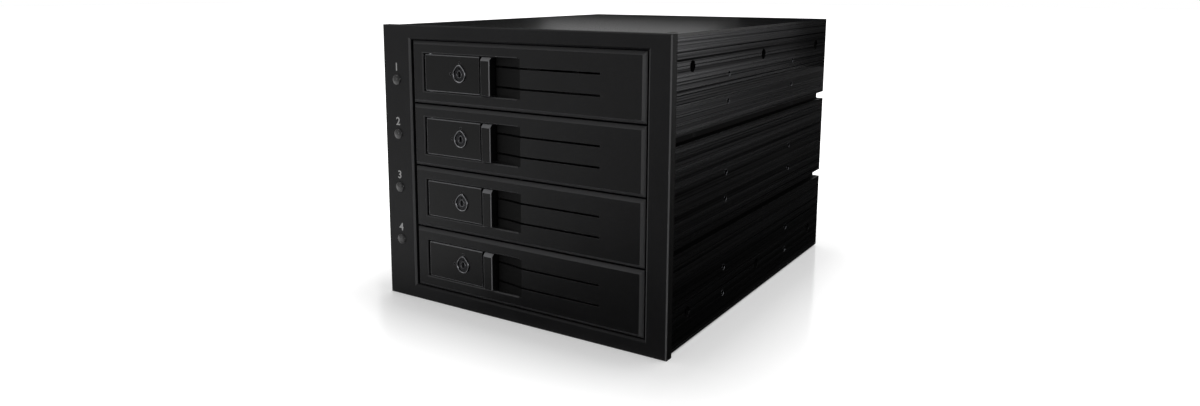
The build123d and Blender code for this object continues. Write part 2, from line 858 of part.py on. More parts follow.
with BuildPart() as rear_plate_screws:
    rod(plate_screws, plate_shank_r, cage_depth - plate_screw_length, cage_depth)
    rod(plate_screws, plate_head_r, cage_depth, cage_depth + plate_head_height)
    for x, z in plate_screws:
        for half_x, half_z in ((plate_shank_r, slot_half_width), (slot_half_width, plate_shank_r)):
            slab(
                x - half_x, x + half_x,
                cage_depth + plate_head_height - recess_of_drive, cage_depth + plate_head_height,
                z - half_z, z + half_z, mode=Mode.SUBTRACT,
            )
keep(rear_plate_screws, "rear_plate_screws")

# Fan housing: two square flanges, a round duct between them, a motor base on struts
base_depth = rear_plate_depth - hub_base_thickness
with BuildPart() as fan_housing:
    with BuildSketch(upright(fan_front_depth)) as outline:
        with Locations((fan_x, body_centre_z)):
            RectangleRounded(fan_size, fan_size, fan_corner_r)
    extrude(outline.sketch, amount=-fan_depth)
    waist_front = fan_front_depth + fan_flange
    waist_rear = rear_plate_depth - fan_flange
    with BuildSketch(upright(waist_front)) as waist:
        with Locations((fan_x, body_centre_z)):
            Rectangle(fan_size + overrun, fan_size + overrun)
            Circle(fan_waist_r, mode=Mode.SUBTRACT)
    extrude(waist.sketch, amount=waist_front - waist_rear, mode=Mode.SUBTRACT)
    rod([(fan_x, body_centre_z)], fan_bore_r, fan_front_depth, rear_plate_depth, mode=Mode.SUBTRACT)
    rod([(fan_x, body_centre_z)], hub_base_r, base_depth, rear_plate_depth)
    rod([(fan_x, body_centre_z)], bearing_seat_r, base_depth - bearing_length, base_depth)
    with BuildSketch(upright(base_depth)) as struts:
        with Locations((fan_x, body_centre_z)):
            with PolarLocations((hub_base_r + fan_bore_r) / 2, strut_count, start_angle=90):
                Rectangle(fan_bore_r - hub_base_r + 2 * overrun, strut_width)
    extrude(struts.sketch, amount=-hub_base_thickness)
    rod(
        [(fan_x, body_centre_z)], bearing_r, base_depth - bearing_length, base_depth,
        mode=Mode.SUBTRACT,
    )
    rod(fan_holes, fan_hole_r, fan_front_depth, rear_plate_depth, mode=Mode.SUBTRACT)
keep(fan_housing, "fan_housing")
with BuildPart() as fan_bearing:
    bearing_front = base_depth - bearing_length
    rod([(fan_x, body_centre_z)], bearing_r, bearing_front, base_depth)
    rod(
        [(fan_x, body_centre_z)], shaft_r + shaft_clearance, bearing_front, base_depth,
        mode=Mode.SUBTRACT,
    )
keep(fan_bearing, "fan_bearing")

# Stator: a core on the bearing tube with poles that end in curved shoes
stator_rear = base_depth - stator_base_gap
with BuildPart() as fan_stator:
    with BuildSketch(upright(stator_rear - stator_length)) as poles:
        with Locations((fan_x, body_centre_z)):
            Circle(stator_r)
            Circle(stator_r - stator_shoe_thickness, mode=Mode.SUBTRACT)
            pole_foot = stator_core_r - stator_shoe_thickness
            pole_head = stator_r - stator_shoe_thickness / 2
            with PolarLocations((pole_foot + pole_head) / 2, stator_pole_count, start_angle=45):
                Rectangle(pole_head - pole_foot, stator_pole_width)
            with PolarLocations(stator_r, stator_pole_count):
                shoe_cut = 2 * stator_shoe_thickness + overrun
                Rectangle(shoe_cut, stator_pole_width / 2, mode=Mode.SUBTRACT)
            Circle(stator_core_r)
            Circle(bearing_seat_r, mode=Mode.SUBTRACT)
    extrude(poles.sketch, amount=-stator_length)
keep(fan_stator, "fan_stator")

# Rotor: a cup with its shaft and seven twisted blades, carried by the shaft in the bearing
cup_front = fan_front_depth + rotor_front_gap
cup_rear = base_depth - rotor_base_gap
blade_tip_r = fan_bore_r - blade_tip_gap
with BuildPart() as fan_rotor:
    blade_middle = front_y + (cup_front + cup_rear) / 2
    hub = Vector(fan_x, blade_middle, body_centre_z)
    for radius, chord, pitch in (
        (rotor_r - rotor_wall / 2, blade_root_chord, blade_root_pitch),
        (blade_tip_r + overrun, blade_tip_chord, blade_tip_pitch),
    ):
        origin = hub + Vector(0, 0, radius)
        with BuildSketch(Plane(origin, x_dir=(0, 1, 0), z_dir=(0, 0, 1))):
            Rectangle(chord, blade_thickness, rotation=pitch)
    loft()
    with Locations(Location(tuple(hub), (90, 0, 0))):
        Cylinder(blade_tip_r, cup_rear - cup_front, mode=Mode.INTERSECT)
    first_blade = fan_rotor.part
    for n in range(1, blade_count):
        turned = first_blade.rotate(Axis(tuple(hub), (0, 1, 0)), 360 * n / blade_count)
        add(turned)
    centre = [(fan_x, body_centre_z)]
    rod(centre, rotor_r, cup_front, cup_rear)
    cup_floor = cup_front + rotor_wall
    rod(centre, rotor_r - rotor_wall, cup_floor, cup_rear, mode=Mode.SUBTRACT)
    rod(centre, rotor_boss_r, cup_floor, base_depth - bearing_length - rotor_boss_gap)
    rod(centre, shaft_r, cup_floor, base_depth - rotor_boss_gap)
keep(fan_rotor, "fan_rotor")

# Wire guard outside the rear plate: rings on two crossed bars that end in screw eyelets
with BuildPart() as fan_guard:
    eyelet_r = fan_head_r + guard_eyelet_rim
    rod(fan_holes, eyelet_r, cage_depth, cage_depth + guard_eyelet)
    bar_length = sqrt(2) * fan_hole_spacing - 2 * (fan_head_r + head_room)
    bar_y = front_y + cage_depth + guard_wire_r
    for angle in (45, -45):
        with Locations(Location((fan_x, bar_y, body_centre_z), (0, angle, 0))):
            Cylinder(guard_wire_r, bar_length)
    ring_y = bar_y + guard_ring_step
    for n in range(guard_ring_count):
        with Locations(Location((fan_x, ring_y, body_centre_z), (90, 0, 0))):
            Torus(guard_inner_ring_r + n * guard_ring_pitch, guard_wire_r)
    eyelet_end = cage_depth + guard_eyelet
    rod(fan_holes, fan_shank_r + hole_clearance, cage_depth, eyelet_end, mode=Mode.SUBTRACT)
keep(fan_guard, "fan_guard")
with BuildPart() as fan_screws:
    head_seat = cage_depth + guard_eyelet
    rod(fan_holes, fan_shank_r, rear_plate_depth - fan_screw_grip, head_seat)
    rod(fan_holes, fan_head_r, head_seat, head_seat + fan_head_height)
    for x, z in fan_holes:
        for half_x, half_z in ((fan_shank_r, slot_half_width), (slot_half_width, fan_shank_r)):
            slab(
                x - half_x, x + half_x,
                head_seat + fan_head_height - recess_of_drive, head_seat + fan_head_height,
                z - half_z, z + half_z, mode=Mode.SUBTRACT,
            )
keep(fan_screws, "fan_screws")


def tray_face(bay_z):
    """Moulded tray front: a shell with a lever recess, a finger dish and two vent slots."""
    left = face_left
    right = face_left + face_width
    half = face_height / 2
    with BuildPart() as face:
        slab(left, right, 0, face_depth, bay_z - half, bay_z + half)
        chamfer(face.faces().sort_by(Axis.Y)[0].edges(), face_chamfer)
        slab(
            left + face_wall, right - face_wall, face_skin, face_depth,
            bay_z - half + face_wall, bay_z + half - face_wall, mode=Mode.SUBTRACT,
        )
        tub_half = recess_height / 2 + recess_wall
        slab(
            recess_x - recess_wall, recess_right + recess_wall, face_skin / 2,
            recess_depth + recess_floor, bay_z - tub_half, bay_z + tub_half,
        )
        dish_right = recess_right + dish_width
        slab(
            recess_right, dish_right + recess_wall, face_skin / 2, dish_depth + dish_floor,
            bay_z - tub_half, bay_z + tub_half,
        )
        screw_places = [(x, bay_z + z) for x, z in face_screw_places]
        rod(screw_places, boss_r, face_skin / 2, face_depth)
        half_recess = recess_height / 2
        slab(
            recess_x, recess_right, 0, recess_depth,
            bay_z - half_recess, bay_z + half_recess, mode=Mode.SUBTRACT,
        )
        with BuildSketch(Plane.XY.offset(bay_z - half_recess)) as dish:
            with BuildLine():
                deep = (recess_right, front_y + dish_depth)
                middle = (recess_right + dish_width / 2, front_y + dish_middle_depth)
                shallow = (dish_right, front_y)
                ThreePointArc(deep, middle, shallow)
                Polyline(shallow, (recess_right, front_y), deep)
            make_face()
        extrude(dish.sketch, amount=recess_height, mode=Mode.SUBTRACT)
        with BuildSketch(upright(0)) as rim:
            rim_width = recess_width + dish_width - 2 * recess_chamfer
            with Locations((recess_x - recess_chamfer + rim_width / 2, bay_z)):
                Rectangle(rim_width, recess_height + 2 * recess_chamfer)
        extrude(rim.sketch, amount=-recess_chamfer, taper=45, mode=Mode.SUBTRACT)
        for row in (-1, 1):
            z = bay_z + row * vent_slot_spacing / 2
            slab(
                recess_right, recess_right + vent_slot_length, 0, dish_depth + dish_floor,
                z - vent_slot_height / 2, z + vent_slot_height / 2, mode=Mode.SUBTRACT,
            )
        keeper_rear = cam_depth - keeper_gap
        slab(
            lock_x - keeper_width / 2, lock_x + keeper_width / 2,
            keeper_rear - keeper_thickness, keeper_rear,
            bay_z + half_recess - keeper_height, bay_z + half_recess,
        )
        pin_length = recess_height + 2 * pin_seat_length
        with Locations((barrel_x, front_y + barrel_centre_depth, bay_z)):
            Cylinder(pin_r, pin_length, mode=Mode.SUBTRACT)
        rod(
            screw_places, small_shank_r, face_depth - face_screw_grip, face_depth,
            mode=Mode.SUBTRACT,
        )
    return face


def tray_frame(bay_z):
    """Folded sheet tray: a floor, two low walls with runners, and a front plate."""
    floor_low = bay_z - frame_bottom_drop
    wall_top = bay_z + frame_wall_top
    left = face_centre_x - frame_half
    right = face_centre_x + frame_half
    front = face_depth
    rear = frame_end_depth
    plate_back = face_depth + frame_sheet
    with BuildPart() as frame:
        slab(left, right, front, rear, floor_low, floor_low + frame_sheet)
        for side in (-1, 1):
            wall = sorted(
                (face_centre_x + side * (frame_half - frame_sheet), face_centre_x + side * frame_half)
            )
            slab(*wall, front, rear, floor_low, wall_top)
            runner = sorted(
                (face_centre_x + side * (frame_half - frame_sheet), face_centre_x + side * runner_half)
            )
            slab(*runner, plate_back, rear, wall_top - frame_sheet, wall_top)
        slab(
            face_centre_x - runner_half, face_centre_x + runner_half,
            front, plate_back, floor_low + face_skin, floor_low + face_skin + front_plate_height,
        )

        # Air openings in the floor and the front plate
        floor_middle = front_y + (front + rear) / 2
        with BuildSketch(Plane.XY.offset(floor_low)) as floor_vents:
            with Locations((face_centre_x, floor_middle)):
                with GridLocations(
                    floor_vent_pitch, floor_vent_row_pitch, floor_vent_columns, floor_vent_rows
                ):
                    RectangleRounded(vent_width, floor_vent_length, vent_corner)
        extrude(floor_vents.sketch, amount=frame_sheet, mode=Mode.SUBTRACT)
        with BuildSketch(upright(front)) as front_vents:
            vent_x = recess_right + dish_width + front_vent_inset + vent_width / 2
            for n in range(front_vent_count):
                with Locations((vent_x + n * front_vent_pitch, bay_z)):
                    RectangleRounded(vent_width, front_vent_height, vent_corner)
        extrude(front_vents.sketch, amount=-frame_sheet, mode=Mode.SUBTRACT)

        # Drive screw holes in the floor and the walls, and flush screw holes to the face
        for from_rear in (drive_bottom_hole_near, drive_bottom_hole_far):
            for side in (-1, 1):
                x = face_centre_x + side * drive_bottom_hole_width / 2
                y = front_y + drive_rear_depth - from_rear
                with Locations((x, y, floor_low + frame_sheet / 2)):
                    Cylinder(drive_screw_hole_r, frame_sheet, mode=Mode.SUBTRACT)
        for from_rear in (drive_side_hole_near, drive_side_hole_far):
            y = front_y + drive_rear_depth - from_rear
            z = bay_z + drive_rest_z + drive_side_hole_height
            for side in (-1, 1):
                x = face_centre_x + side * (frame_half - frame_sheet / 2)
                with Locations(Location((x, y, z), (0, 90, 0))):
                    Cylinder(drive_screw_hole_r, frame_sheet, mode=Mode.SUBTRACT)
        screw_places = [(x, bay_z + z) for x, z in face_screw_places]
        rod(screw_places, small_shank_r + hole_clearance, front, plate_back, mode=Mode.SUBTRACT)
        cone(
            screw_places, small_shank_r, small_head_r,
            plate_back - flush_head_height, plate_back, mode=Mode.SUBTRACT,
        )
    return frame


def tray_screws(bay_z):
    """Flush screws that hold a tray's face to its frame."""
    places = [(x, bay_z + z) for x, z in face_screw_places]
    plate_back = face_depth + frame_sheet
    with BuildPart() as screws:
        rod(places, small_shank_r, face_depth - face_screw_grip, plate_back - flush_head_height)
        cone(places, small_shank_r, small_head_r, plate_back - flush_head_height, plate_back)
        rod(
            places, small_shank_r / 2, plate_back - recess_of_drive, plate_back,
            mode=Mode.SUBTRACT,
        )
    return screws


def lever_grip(bay_z):
    """The lever's finger grip: an upright bar, sloped at its top, that stands proud of the panel."""
    back_depth = lever_panel_thickness + lever_back_thickness
    low = bay_z - lever_height / 2
    high = bay_z + lever_height / 2
    with BuildPart() as grip:
        slab(grip_left, grip_right, -grip_proud, back_depth, low, high)
        front_face = grip.faces().sort_by(Axis.Y)[0]
        chamfer(front_face.edges().filter_by(Axis.X).sort_by(Axis.Z)[-1], grip_top_slope)
        front_face = grip.faces().sort_by(Axis.Y)[0]
        fillet(front_face.edges().filter_by(Axis.Z), grip_edge_fillet)
    return grip


def tray_lever(bay_z):
    """Swing-out lever: a flush panel with a hinge barrel, and a grip joined to it from behind."""
    low = bay_z - lever_height / 2
    high = bay_z + lever_height / 2
    back_depth = lever_panel_thickness + lever_back_thickness
    with BuildPart() as lever:
        slab(lever_left, panel_right, 0, lever_panel_thickness, low, high)
        upright_edges = lever.edges().filter_by(Axis.Z).group_by(Axis.X)[0]
        fillet(upright_edges.sort_by(Axis.Y)[0], barrel_corner_fillet)
        for place in (Axis.Z, -Axis.Z):
            front_edges = lever.faces().sort_by(place)[0].edges().filter_by(Axis.X)
            chamfer(front_edges.sort_by(Axis.Y)[0], lever_edge_chamfer)
        with Locations((barrel_x, front_y + barrel_centre_depth, bay_z)):
            Cylinder(barrel_r, lever_height)
        slab(
            panel_right - lever_back_reach, grip_right, lever_panel_thickness, back_depth,
            low + lever_edge_gap, high - lever_edge_gap,
        )
        add(lever_grip(bay_z).part)
        with Locations((barrel_x, front_y + barrel_centre_depth, bay_z)):
            Cylinder(pin_r + pin_clearance, lever_height, mode=Mode.SUBTRACT)
        rod([(lock_x, bay_z)], lock_ring_r, 0, lever_panel_thickness, mode=Mode.SUBTRACT)
        marks = [(lock_x - dimple_offset, bay_z), (lock_x, bay_z + dimple_offset)]
        rod(marks, dimple_r, 0, dimple_depth, mode=Mode.SUBTRACT)
    return lever


def lever_pin(bay_z):
    """Hinge pin, seated in the recess's upper and lower walls."""
    with BuildPart() as pin:
        with Locations((barrel_x, front_y + barrel_centre_depth, bay_z)):
            Cylinder(pin_r, recess_height + 2 * pin_seat_length)
    return pin


def lock_barrel(bay_z):
    """Fixed part of the key lock: a ring in the lever's panel with a shoulder behind it."""
    place = [(lock_x, bay_z)]
    with BuildPart() as barrel:
        rod(place, lock_ring_r, -lock_ring_proud, lock_barrel_length)
        fillet(barrel.faces().sort_by(Axis.Y)[0].edges(), lock_ring_proud)
        shoulder_back = lever_panel_thickness + lock_shoulder_thickness
        rod(place, lock_shoulder_r, lever_panel_thickness, shoulder_back)
        bore = lock_plug_r + lock_clearance
        rod(place, bore, -lock_ring_proud, lock_barrel_length, mode=Mode.SUBTRACT)
    return barrel


def lock_plug(bay_z):
    """Turning part of the key lock: a plug with a keyway and a square tang for the cam."""
    with BuildPart() as plug:
        front = -plug_front_set_back
        shoulder = cam_depth - lock_clearance
        rod([(lock_x, bay_z)], lock_plug_r, front, shoulder)
        slab(
            lock_x - keyway_width / 2, lock_x + keyway_width / 2, front, keyway_depth,
            bay_z - keyway_height / 2, bay_z + keyway_height / 2, mode=Mode.SUBTRACT,
        )
        half = tang_size / 2
        tang_back = cam_depth + cam_thickness + tang_end
        slab(lock_x - half, lock_x + half, shoulder, tang_back, bay_z - half, bay_z + half)
        notch = [(lock_x, bay_z + lock_plug_r)]
        rod(notch, keyway_notch_r, front, keyway_notch_depth, mode=Mode.SUBTRACT)
    return plug


def lock_cam(bay_z):
    """Cam on the plug's tang. It lies flat when unlocked and stands behind the keeper when locked."""
    with BuildPart() as cam:
        with BuildSketch(upright(cam_depth)) as outline:
            with Locations((lock_x, bay_z)):
                Circle(cam_hub_r)
            arm_length = cam_reach - cam_width / 2
            with Locations((lock_x + arm_length / 2, bay_z)):
                Rectangle(arm_length, cam_width)
            with Locations((lock_x + arm_length, bay_z)):
                Circle(cam_width / 2)
            with Locations((lock_x, bay_z)):
                Rectangle(tang_size, tang_size, mode=Mode.SUBTRACT)
        extrude(outline.sketch, amount=-cam_thickness)
    return cam


# Four trays, numbered from the top, each made of the same eight pieces
for number, bay_z in enumerate(bay_centres, 1):
    keep(tray_face(bay_z), f"tray_{number}_face")
    keep(tray_frame(bay_z), f"tray_{number}_frame")
    keep(tray_screws(bay_z), f"tray_{number}_screws")
    keep(tray_lever(bay_z), f"tray_{number}_lever")
    keep(lever_pin(bay_z), f"tray_{number}_lever_pin")
    keep(lock_barrel(bay_z), f"tray_{number}_lock_barrel")
    keep(lock_plug(bay_z), f"tray_{number}_lock_plug")
    keep(lock_cam(bay_z), f"tray_{number}_lock_cam")
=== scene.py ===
# %% [markdown]
# # A hot swap drive cage in Blender
# The construction comes ready from the CAD model: sixty solids that already stand where they
# belong, in metres, with X to the right, Y to the rear and Z up. This lesson gives them their
# looks. It loads the solids, sets up a camera and a small studio, makes one material for each
# real finish, and adds the fine pieces that a CAD model leaves plain.

import bmesh
import bpy
import numpy as np
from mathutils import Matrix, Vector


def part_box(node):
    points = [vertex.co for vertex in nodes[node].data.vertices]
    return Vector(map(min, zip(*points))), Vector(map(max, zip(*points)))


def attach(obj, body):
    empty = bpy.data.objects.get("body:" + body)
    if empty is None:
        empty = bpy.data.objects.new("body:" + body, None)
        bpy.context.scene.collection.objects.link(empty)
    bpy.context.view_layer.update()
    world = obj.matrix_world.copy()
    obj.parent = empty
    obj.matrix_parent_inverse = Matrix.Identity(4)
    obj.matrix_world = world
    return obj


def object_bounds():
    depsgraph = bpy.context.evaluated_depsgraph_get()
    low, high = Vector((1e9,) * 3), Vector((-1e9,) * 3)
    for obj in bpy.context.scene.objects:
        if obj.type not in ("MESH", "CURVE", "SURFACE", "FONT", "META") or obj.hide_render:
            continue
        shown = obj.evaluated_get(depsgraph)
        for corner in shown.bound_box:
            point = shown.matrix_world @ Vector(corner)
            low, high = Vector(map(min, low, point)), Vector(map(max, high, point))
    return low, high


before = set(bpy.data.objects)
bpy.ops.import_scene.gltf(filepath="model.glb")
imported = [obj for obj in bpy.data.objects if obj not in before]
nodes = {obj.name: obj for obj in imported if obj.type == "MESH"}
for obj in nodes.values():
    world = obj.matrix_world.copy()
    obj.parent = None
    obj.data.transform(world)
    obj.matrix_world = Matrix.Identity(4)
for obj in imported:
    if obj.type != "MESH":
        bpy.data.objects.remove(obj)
cad_low, cad_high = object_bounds()
TRAYS = range(1, 5)
MM = 0.001
cad_size = [round((high - low) / MM, 1) for low, high in zip(cad_low, cad_high)]
print(len(nodes), "solids' nodes, box in mm:", cad_size)

# %% [markdown]
# ## The camera
# The picture to match is 1200 by 406 pixels. Its vanishing lines give a focal length of 878
# pixels and a horizon high in the frame. A product picture like this is often cropped off
# centre, and a lens shift says that crop without bending the upright edges.

# %% Camera
PHOTO_WIDTH, PHOTO_HEIGHT = 1200, 406
FOCAL_PIXELS = 878.3
CENTRE_PIXEL = (569.5, 133.4)
SENSOR_MM = 36.0
CAMERA_PLACE = (0.22118, -0.38866, 0.146)
CAMERA_TILT, CAMERA_ROLL, CAMERA_TURN = np.radians((80.442, -0.019, 33.283))

camera_data = bpy.data.cameras.new("camera")
camera_data.sensor_width = SENSOR_MM
camera_data.lens = FOCAL_PIXELS / PHOTO_WIDTH * SENSOR_MM
camera_data.shift_x = (PHOTO_WIDTH / 2 - CENTRE_PIXEL[0]) / PHOTO_WIDTH
camera_data.shift_y = (CENTRE_PIXEL[1] - PHOTO_HEIGHT / 2) / PHOTO_WIDTH
camera_data.clip_start = 0.01
camera = bpy.data.objects.new("camera", camera_data)
camera.location = CAMERA_PLACE
camera.rotation_euler = (CAMERA_TILT, CAMERA_ROLL, CAMERA_TURN)
bpy.context.scene.collection.objects.link(camera)
bpy.context.scene.camera = camera
bpy.context.scene.view_settings.view_transform = "Standard"
print("lens", round(camera_data.lens, 2), "mm")

# %% [markdown]
# ## Colours and nodes
# Colours are written as sRGB hex values, the way a paint program shows them. Blender's shaders
# work in linear light, so one function turns them over. A second one adds a node, sets its
# options and fills or links its inputs, so that each material below reads as a short list.


# %% Helpers for colours and nodes
def linear(colour):
    """Linear RGBA of an sRGB hex colour: a channel up to 0.04045 is divided by 12.92, and a
    brighter one is (channel + 0.055) / 1.055 to the power 2.4. Alpha is 1."""
    channels = np.array([int(colour[n:n + 2], 16) for n in (0, 2, 4)]) / 255
    light = np.where(channels <= 0.04045, channels / 12.92, ((channels + 0.055) / 1.055) ** 2.4)
    return (*light, 1.0)


def add_node(tree, kind, settings=None, inputs=None):
    """Add a node, set its options, and give each named input a value or link it to a socket."""
    node = tree.nodes.new("ShaderNode" + kind)
    for name, value in (settings or {}).items():
        setattr(node, name, value)
    for name, value in (inputs or {}).items():
        if isinstance(value, bpy.types.NodeSocket):
            tree.links.new(value, node.inputs[name])
        else:
            node.inputs[name].default_value = value
    return node


def new_material(name, colour, roughness, **inputs):
    """A material with one Principled shader. Returns the material, its tree and the shader."""
    material = bpy.data.materials.new(name)
    material.use_nodes = True
    tree = material.node_tree
    tree.nodes.clear()
    values = {"Base Color": linear(colour), "Roughness": roughness}
    values.update({key.replace("_", " "): value for key, value in inputs.items()})
    shader = add_node(tree, "BsdfPrincipled", inputs=values)
    add_node(tree, "OutputMaterial", inputs={"Surface": shader.outputs["BSDF"]})
    material.diffuse_color = linear(colour)
    return material, tree, shader


def noise(tree, size_mm, detail=2.0, stretch=(1, 1, 1), rough=0.5):
    """Noise on Object coordinates whose lumps are about size_mm across, and longer along an axis
    whose stretch is above 1."""
    place = add_node(tree, "TexCoord").outputs["Object"]
    scale = [1 / (size_mm * MM * s) for s in stretch]
    mapped = add_node(tree, "Mapping", inputs={"Vector": place, "Scale": scale})
    inputs = {"Vector": mapped.outputs["Vector"], "Scale": 1.0, "Detail": detail, "Roughness": rough}
    return add_node(tree, "TexNoise", inputs=inputs).outputs["Fac"]


def spread(tree, value, low, high, from_low=0.3, from_high=0.7):
    """Stretch a pattern's middle range to run from low to high, and hold it there."""
    inputs = {"Value": value, "From Min": from_low, "From Max": from_high}
    inputs.update({"To Min": low, "To Max": high})
    return add_node(tree, "MapRange", inputs=inputs).outputs["Result"]


# A Mix node holds its sockets for every type, so those for colours are found by number
FIRST_COLOUR, SECOND_COLOUR, MIXED_COLOUR = 6, 7, 2


def blend(tree, share, first, second):
    """Mix two colours by a pattern: 0 gives the first and 1 the second. Each is a hex or a socket."""
    first, second = (linear(colour) if isinstance(colour, str) else colour for colour in (first, second))
    inputs = {"Factor": share, FIRST_COLOUR: first, SECOND_COLOUR: second}
    return add_node(tree, "Mix", {"data_type": "RGBA"}, inputs).outputs[MIXED_COLOUR]


def relief(tree, shader, height, depth_mm, normal=None):
    """Bump a surface by a pattern of heights from 0 to 1 that is depth_mm deep."""
    inputs = {"Height": height, "Distance": depth_mm * MM}
    if normal is not None:
        inputs["Normal"] = normal
    bump = add_node(tree, "Bump", inputs=inputs)
    tree.links.new(bump.outputs["Normal"], shader.inputs["Normal"])


def soft_edge(tree, radius_mm):
    """Normals that round a sharp edge over a radius, as a moulded or deburred edge is round."""
    return add_node(tree, "Bevel", {"samples": 4}, {"Radius": radius_mm * MM}).outputs["Normal"]


print("white paper is", [round(c, 3) for c in linear("ffffff")])

# %% [markdown]
# ## The studio
# The cage is nearly black, so what the eye reads as its shape is mostly reflection. The picture
# has a pure white ground with a soft shadow and a faint mirror image close to the object. So the
# surround and the floor are white to the camera and to mirrors, and the light that really falls on
# the object comes from a dimmer sky and a few large soft lamps. Close round the cage the floor's own
# glow is dimmed, a painted shadow that darkens the ground at its foot. A studio keeps white out of a
# black product with dark cloth round it. Here six such cloths show in reflections only. Two lie
# beside the cage and before it, and one stands at its far right: they darken the foot and the far
# end of the brushed side. Three hang behind the cage, where the top cover mirrors them: two black
# ones and a grey one between them, so that the cover is lighter in its middle.

# %% Surround
AMBIENT = 0.4
world = bpy.data.worlds.new("studio")
bpy.context.scene.world = world
world.use_nodes = True
sky = world.node_tree
sky.nodes.clear()


def seen_directly(tree):
    """1 for rays from the camera, from a mirror or through glass, and 0 for light on things."""
    rays = add_node(tree, "LightPath").outputs
    inputs = {0: rays["Is Camera Ray"], 1: rays["Is Glossy Ray"]}
    either = add_node(tree, "Math", {"operation": "MAXIMUM"}, inputs).outputs[0]
    inputs = {0: either, 1: rays["Is Transmission Ray"]}
    return add_node(tree, "Math", {"operation": "MAXIMUM"}, inputs).outputs[0]


level = spread(sky, seen_directly(sky), AMBIENT, 1.0, 0.0, 1.0)
surround = add_node(sky, "Background", inputs={"Color": linear("ffffff"), "Strength": level})
add_node(sky, "OutputWorld", inputs={"Surface": surround.outputs["Background"]})
print("sky light", AMBIENT)


# %% A floor that is matte and fully white away from the cage, with a painted shadow close round it
def stage_sheet(name, corners, material):
    """A flat four-cornered sheet that belongs to the studio."""
    mesh = bpy.data.meshes.new(name)
    mesh.from_pydata(corners, [], [(0, 1, 2, 3)])
    mesh.materials.append(material)
    sheet = bpy.data.objects.new(name, mesh)
    bpy.context.scene.collection.objects.link(sheet)
    return sheet


FLOOR_HALF = 6.0
PAINTED_SHADOW_GLOW, GLOW_FAR = 0.3, 1.0
PAINTED_SHADOW_REACH = (0.01, 0.12)
FLOOR_POLISH, FLOOR_MATTE = 0.13, 0.8
POLISHED_REACH = (0.03, 0.35)
CAGE_HALF = (0.0743, 0.0966, 0.0)
paper, paper_tree, paper_shader = new_material("white_sweep_with_painted_shadow", "f7f7f7", FLOOR_POLISH)
paper_shader.inputs["Emission Color"].default_value = linear("ffffff")
# The distance to the cage's footprint: fold all four quarters onto one by taking absolute values,
# subtract the cage's half size, hold what is negative at zero, and take the length of the rest
place = add_node(paper_tree, "TexCoord").outputs["Object"]
for operation, other in (("ABSOLUTE", (0, 0, 0)), ("SUBTRACT", CAGE_HALF), ("MAXIMUM", (0, 0, 0))):
    step = add_node(paper_tree, "VectorMath", {"operation": operation}, {0: place, 1: other})
    place = step.outputs["Vector"]
distance = add_node(paper_tree, "VectorMath", {"operation": "LENGTH"}, {0: place}).outputs["Value"]
duller = spread(paper_tree, distance, FLOOR_POLISH, FLOOR_MATTE, *POLISHED_REACH)
paper_tree.links.new(duller, paper_shader.inputs["Roughness"])
# Painted shadow: near the cage's footprint the floor's glow is dimmed to 0.3 of full, and it rises to full
# 0.12 m away.
glow_past_painted_shadow = spread(paper_tree, distance, PAINTED_SHADOW_GLOW, GLOW_FAR, *PAINTED_SHADOW_REACH)
glow = add_node(paper_tree, "Math", {"operation": "MULTIPLY"}, {0: seen_directly(paper_tree), 1: glow_past_painted_shadow})
paper_tree.links.new(glow.outputs[0], paper_shader.inputs["Emission Strength"])
ends = (-FLOOR_HALF, FLOOR_HALF)
stage_sheet("floor", [(ends[a], ends[b], 0) for a, b in ((0, 0), (1, 0), (1, 1), (0, 1))], paper)
print("floor", 2 * FLOOR_HALF, "m wide")


# %% Dark cloths that only reflections see
def reflected_only(thing):
    """Hide a thing from the camera, from diffuse light and from shadows, and leave it to mirrors."""
    thing.visible_camera = thing.visible_diffuse = thing.visible_shadow = False
    thing.visible_transmission = thing.visible_volume_scatter = False
    return thing


def one_sided(tree, shader):
    """Let a sheet be seen from its front only: from behind it's clear."""
    behind = add_node(tree, "NewGeometry").outputs["Backfacing"]
    clear = add_node(tree, "BsdfTransparent").outputs["BSDF"]
    either = add_node(tree, "MixShader", inputs={"Fac": behind, 1: shader.outputs[0], 2: clear})
    tree.links.new(either.outputs["Shader"], tree.nodes["Material Output"].inputs["Surface"])


def lying(name, low, high, material, rise=0.5 * MM):
    """A sheet on the floor between two corners, facing up."""
    places = [(low[0], low[1]), (high[0], low[1]), (high[0], high[1]), (low[0], high[1])]
    return reflected_only(stage_sheet(name, [(x, y, rise) for x, y in places], material))


def standing(name, left, right, low, high, material):
    """An upright sheet that faces the side from which left is on the left hand."""
    foot, head = [(*left, low), (*right, low)], [(*right, high), (*left, high)]
    return reflected_only(stage_sheet(name, foot + head, material))


def cloth(name, colour):
    """Matte cloth without any gloss, seen from its front only."""
    material, tree, shader = new_material(name, colour, 1.0, Specular_IOR_Level=0.0)
    one_sided(tree, shader)
    return material


CAGE_SIDE = 0.0731
CAGE_FRONT = -0.098
SCREEN_X = 0.45
BEHIND_Y, BEHIND_GREY_Y = 0.115, 0.11
CLOTH_TOP = 0.4
BEHIND_LOW, GREY_TOP = 0.1, 0.17
black_cloth, grey_cloth = cloth("black_cloth", "101010"), cloth("grey_cloth", "646464")
lying("cloth_beside", (CAGE_SIDE, -0.6), (0.9, 1.2), black_cloth)
lying("cloth_before", (-0.03, -0.6), (CAGE_SIDE, CAGE_FRONT), black_cloth)
standing("cloth_far_right", (0.43, 2.2), (SCREEN_X, 0.75), 0.0, CLOTH_TOP, black_cloth)
standing("cloth_behind_left", (-0.3, BEHIND_Y), (-0.13, BEHIND_Y), BEHIND_LOW, CLOTH_TOP, black_cloth)
standing("cloth_behind_right", (0.0, BEHIND_Y), (0.12, BEHIND_Y), BEHIND_LOW, CLOTH_TOP, black_cloth)
standing("cloth_behind_middle", (-0.13, BEHIND_GREY_Y), (0.015, BEHIND_GREY_Y), BEHIND_LOW, GREY_TOP,
         grey_cloth)
print("six cloths")


